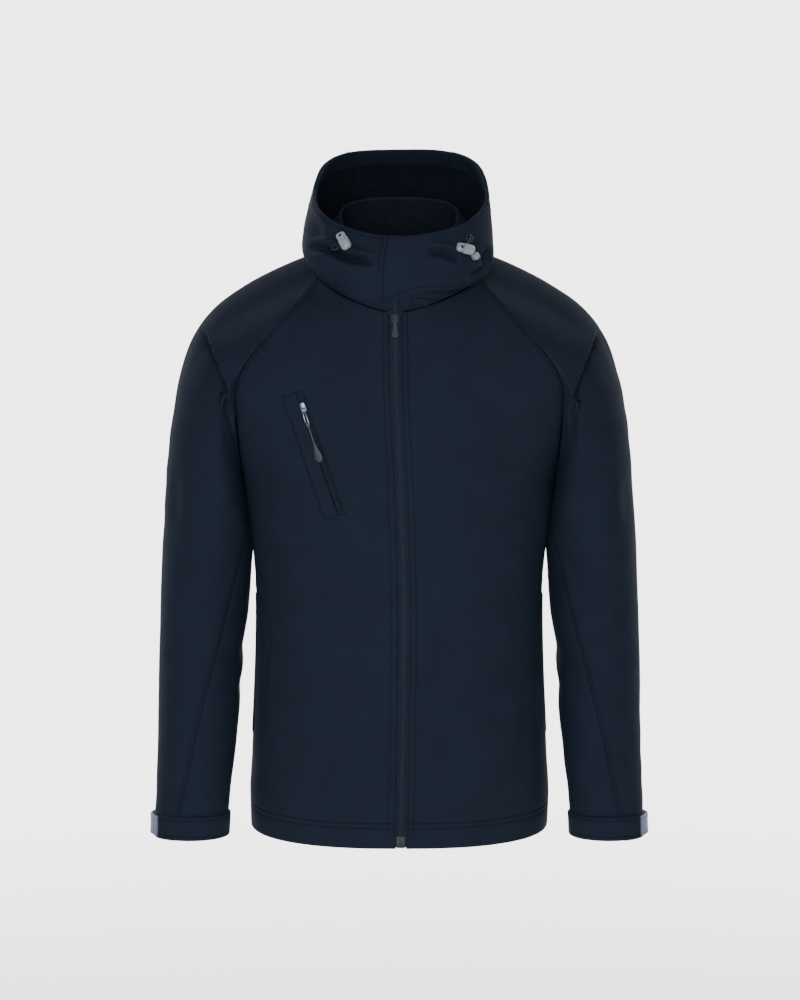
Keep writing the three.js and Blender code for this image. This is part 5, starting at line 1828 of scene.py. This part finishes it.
class JACKET_OT_cord_locks(bpy.types.Operator):
    """Builds the hood's cord locks, their eyelets, the cord between them and the storm tab"""
    bl_idname = "jacket.cord_locks"
    bl_label = "Cord locks"

    def execute(self, context):
        for lock in LOCKS:
            self.lock(lock)
        place = on_hood(86.3, 16.0, 3.7 + 4.6)
        up = leaning(place, 35)

        def button(work):
            prism(work, round_outline(8, 8, 1.6), 0.0, 7.0)
            prism(work, round_outline(5, 5, 1.2), 6.5, 7.6)

        solid(
            "cord_lock_left_knob", button, lay_matrix(place, up), "plastic", "jacket",
            0.8, node="cord_lock_left_button",
        )
        place = on_hood(26.0, -38.0, 0.8)

        def storm(work):
            prism(work, round_outline(22, 9, 2), 0, 1.4)

        solid(
            "storm_tab_end", storm, lay_matrix(place, (0.2, 0, 1)), "softshell", "jacket",
            0.5, node="storm_tab",
        )
        return {"FINISHED"}

    def lock(self, lock):
        name, base = lock["name"], lock["base"]
        place = on_hood(float(lock["x"]), float(lock["z"]), base + 3.6)
        matrix = lay_matrix(place, leaning(place, lock["lean"]))

        def body(work):
            along = Matrix.Translation((0, 0, 4.5)) @ Matrix.Rotation(-math.pi / 2, 4, "X")
            flat = Matrix.Diagonal((1, 1, 0.72, 1)) @ along
            flat = Matrix.Translation((0, 0, 1.3)) @ flat
            barrel(work, (
                (3.0, -12), (5.0, -11.2), (6.2, -9.2), (6.5, -6), (6.5, 2.6), (6.1, 3.4),
            ), 28, flat)
            barrel(work, (
                (4.6, 3.0), (4.8, 3.6), (5.6, 4.4), (5.9, 6.5), (5.7, 9.5), (4.8, 11.3), (3.0, 12),
            ), 28, flat)
            for y in (-8.2, -5.8, -3.4):
                barrel(work, ((6.5, y - 0.5), (6.85, y), (6.5, y + 0.5)), 28, flat)

        solid(
            f"cord_lock_{name}_body", body, matrix, "plastic", "jacket",
            node=f"cord_lock_{name}",
        )

        def hole(work):
            barrel(work, ((1.9, 8.0), (2.1, 8.6), (1.9, 9.2)), 16, Matrix.Translation((0, 7, 0)))

        solid(f"cord_lock_{name}_hole", hole, matrix, "elastic", "jacket")
        eye = on_hood(float(lock["eye_x"]), float(lock["eye_z"]), base)

        def eyelet(work):
            turn = np.radians(np.linspace(0, 360, 37))
            ring = np.stack((4.4 * np.cos(turn), 4.4 * np.sin(turn), 0 * turn + 0.7), axis=-1)
            tube(work, ring, 1.2, 10)

        solid(
            f"eyelet_{name}_ring", eyelet, lay_matrix(eye, (0, 0, 1)), "dark", "jacket",
            node=f"eyelet_{name}",
        )
        shares = np.array((0.0, 0.08, 0.22, 0.42, 0.6))
        lifts = np.array((0.9, 2.8, 3.8, 3.4, 2.0)) + base
        xs = mix(lock["eye_x"], lock["x"], shares)
        zs = mix(lock["eye_z"], lock["z"], shares)
        knots = on_hood(xs, zs, lifts).point
        rows = {"s": np.arange(5.0), "x": knots[:, 0], "y": knots[:, 1], "z": knots[:, 2]}
        line = read_point(rows, "s", np.linspace(0, 4, 24))

        def cord(work):
            tube(work, line, 1.3, 12)

        solid(
            f"cord_{name}_bit", cord, Matrix.Identity(4), "elastic", "jacket",
            node=f"cord_{name}",
        )


# Panel and registration --------------------------------------------------------------------------

STEPS = (
    JACKET_OT_camera, JACKET_OT_body, JACKET_OT_sleeves, JACKET_OT_hood, JACKET_OT_front_zip,
    JACKET_OT_chest_pocket, JACKET_OT_hand_pockets, JACKET_OT_cuffs, JACKET_OT_cord_locks,
    JACKET_OT_studio,
)


class JACKET_PT_panel(bpy.types.Panel):
    """Lists the jacket's pieces and their sizes"""
    bl_idname = "JACKET_PT_panel"
    bl_label = "Jacket"
    bl_space_type = "VIEW_3D"
    bl_region_type = "UI"
    bl_category = "Jacket"

    def draw(self, context):
        layout = self.layout
        for step in STEPS:
            layout.operator(step.bl_idname, text=step.bl_label)
        for group in GROUPS:
            box = layout.box()
            holder = getattr(context.scene, group)
            for key in GROUPS[group].__annotations__:
                box.prop(holder, key)


GROUPS = {
    "jacket_cloth": JacketCloth, "jacket_sewing": JacketSewing, "jacket_zip": JacketZip,
    "jacket_colours": JacketColours, "jacket_studio": JacketStudio,
}


def register():
    for item in (*GROUPS.values(), *STEPS, JACKET_PT_panel):
        bpy.utils.register_class(item)
    for name, group in GROUPS.items():
        setattr(bpy.types.Scene, name, PointerProperty(type=group))


def unregister():
    for name in GROUPS:
        delattr(bpy.types.Scene, name)
    for item in reversed((*GROUPS.values(), *STEPS, JACKET_PT_panel)):
        bpy.utils.unregister_class(item)


def main():
    register()
    for step in STEPS:
        group, name = step.bl_idname.split(".")
        getattr(getattr(bpy.ops, group), name)()


if __name__ == "__main__":
    main()
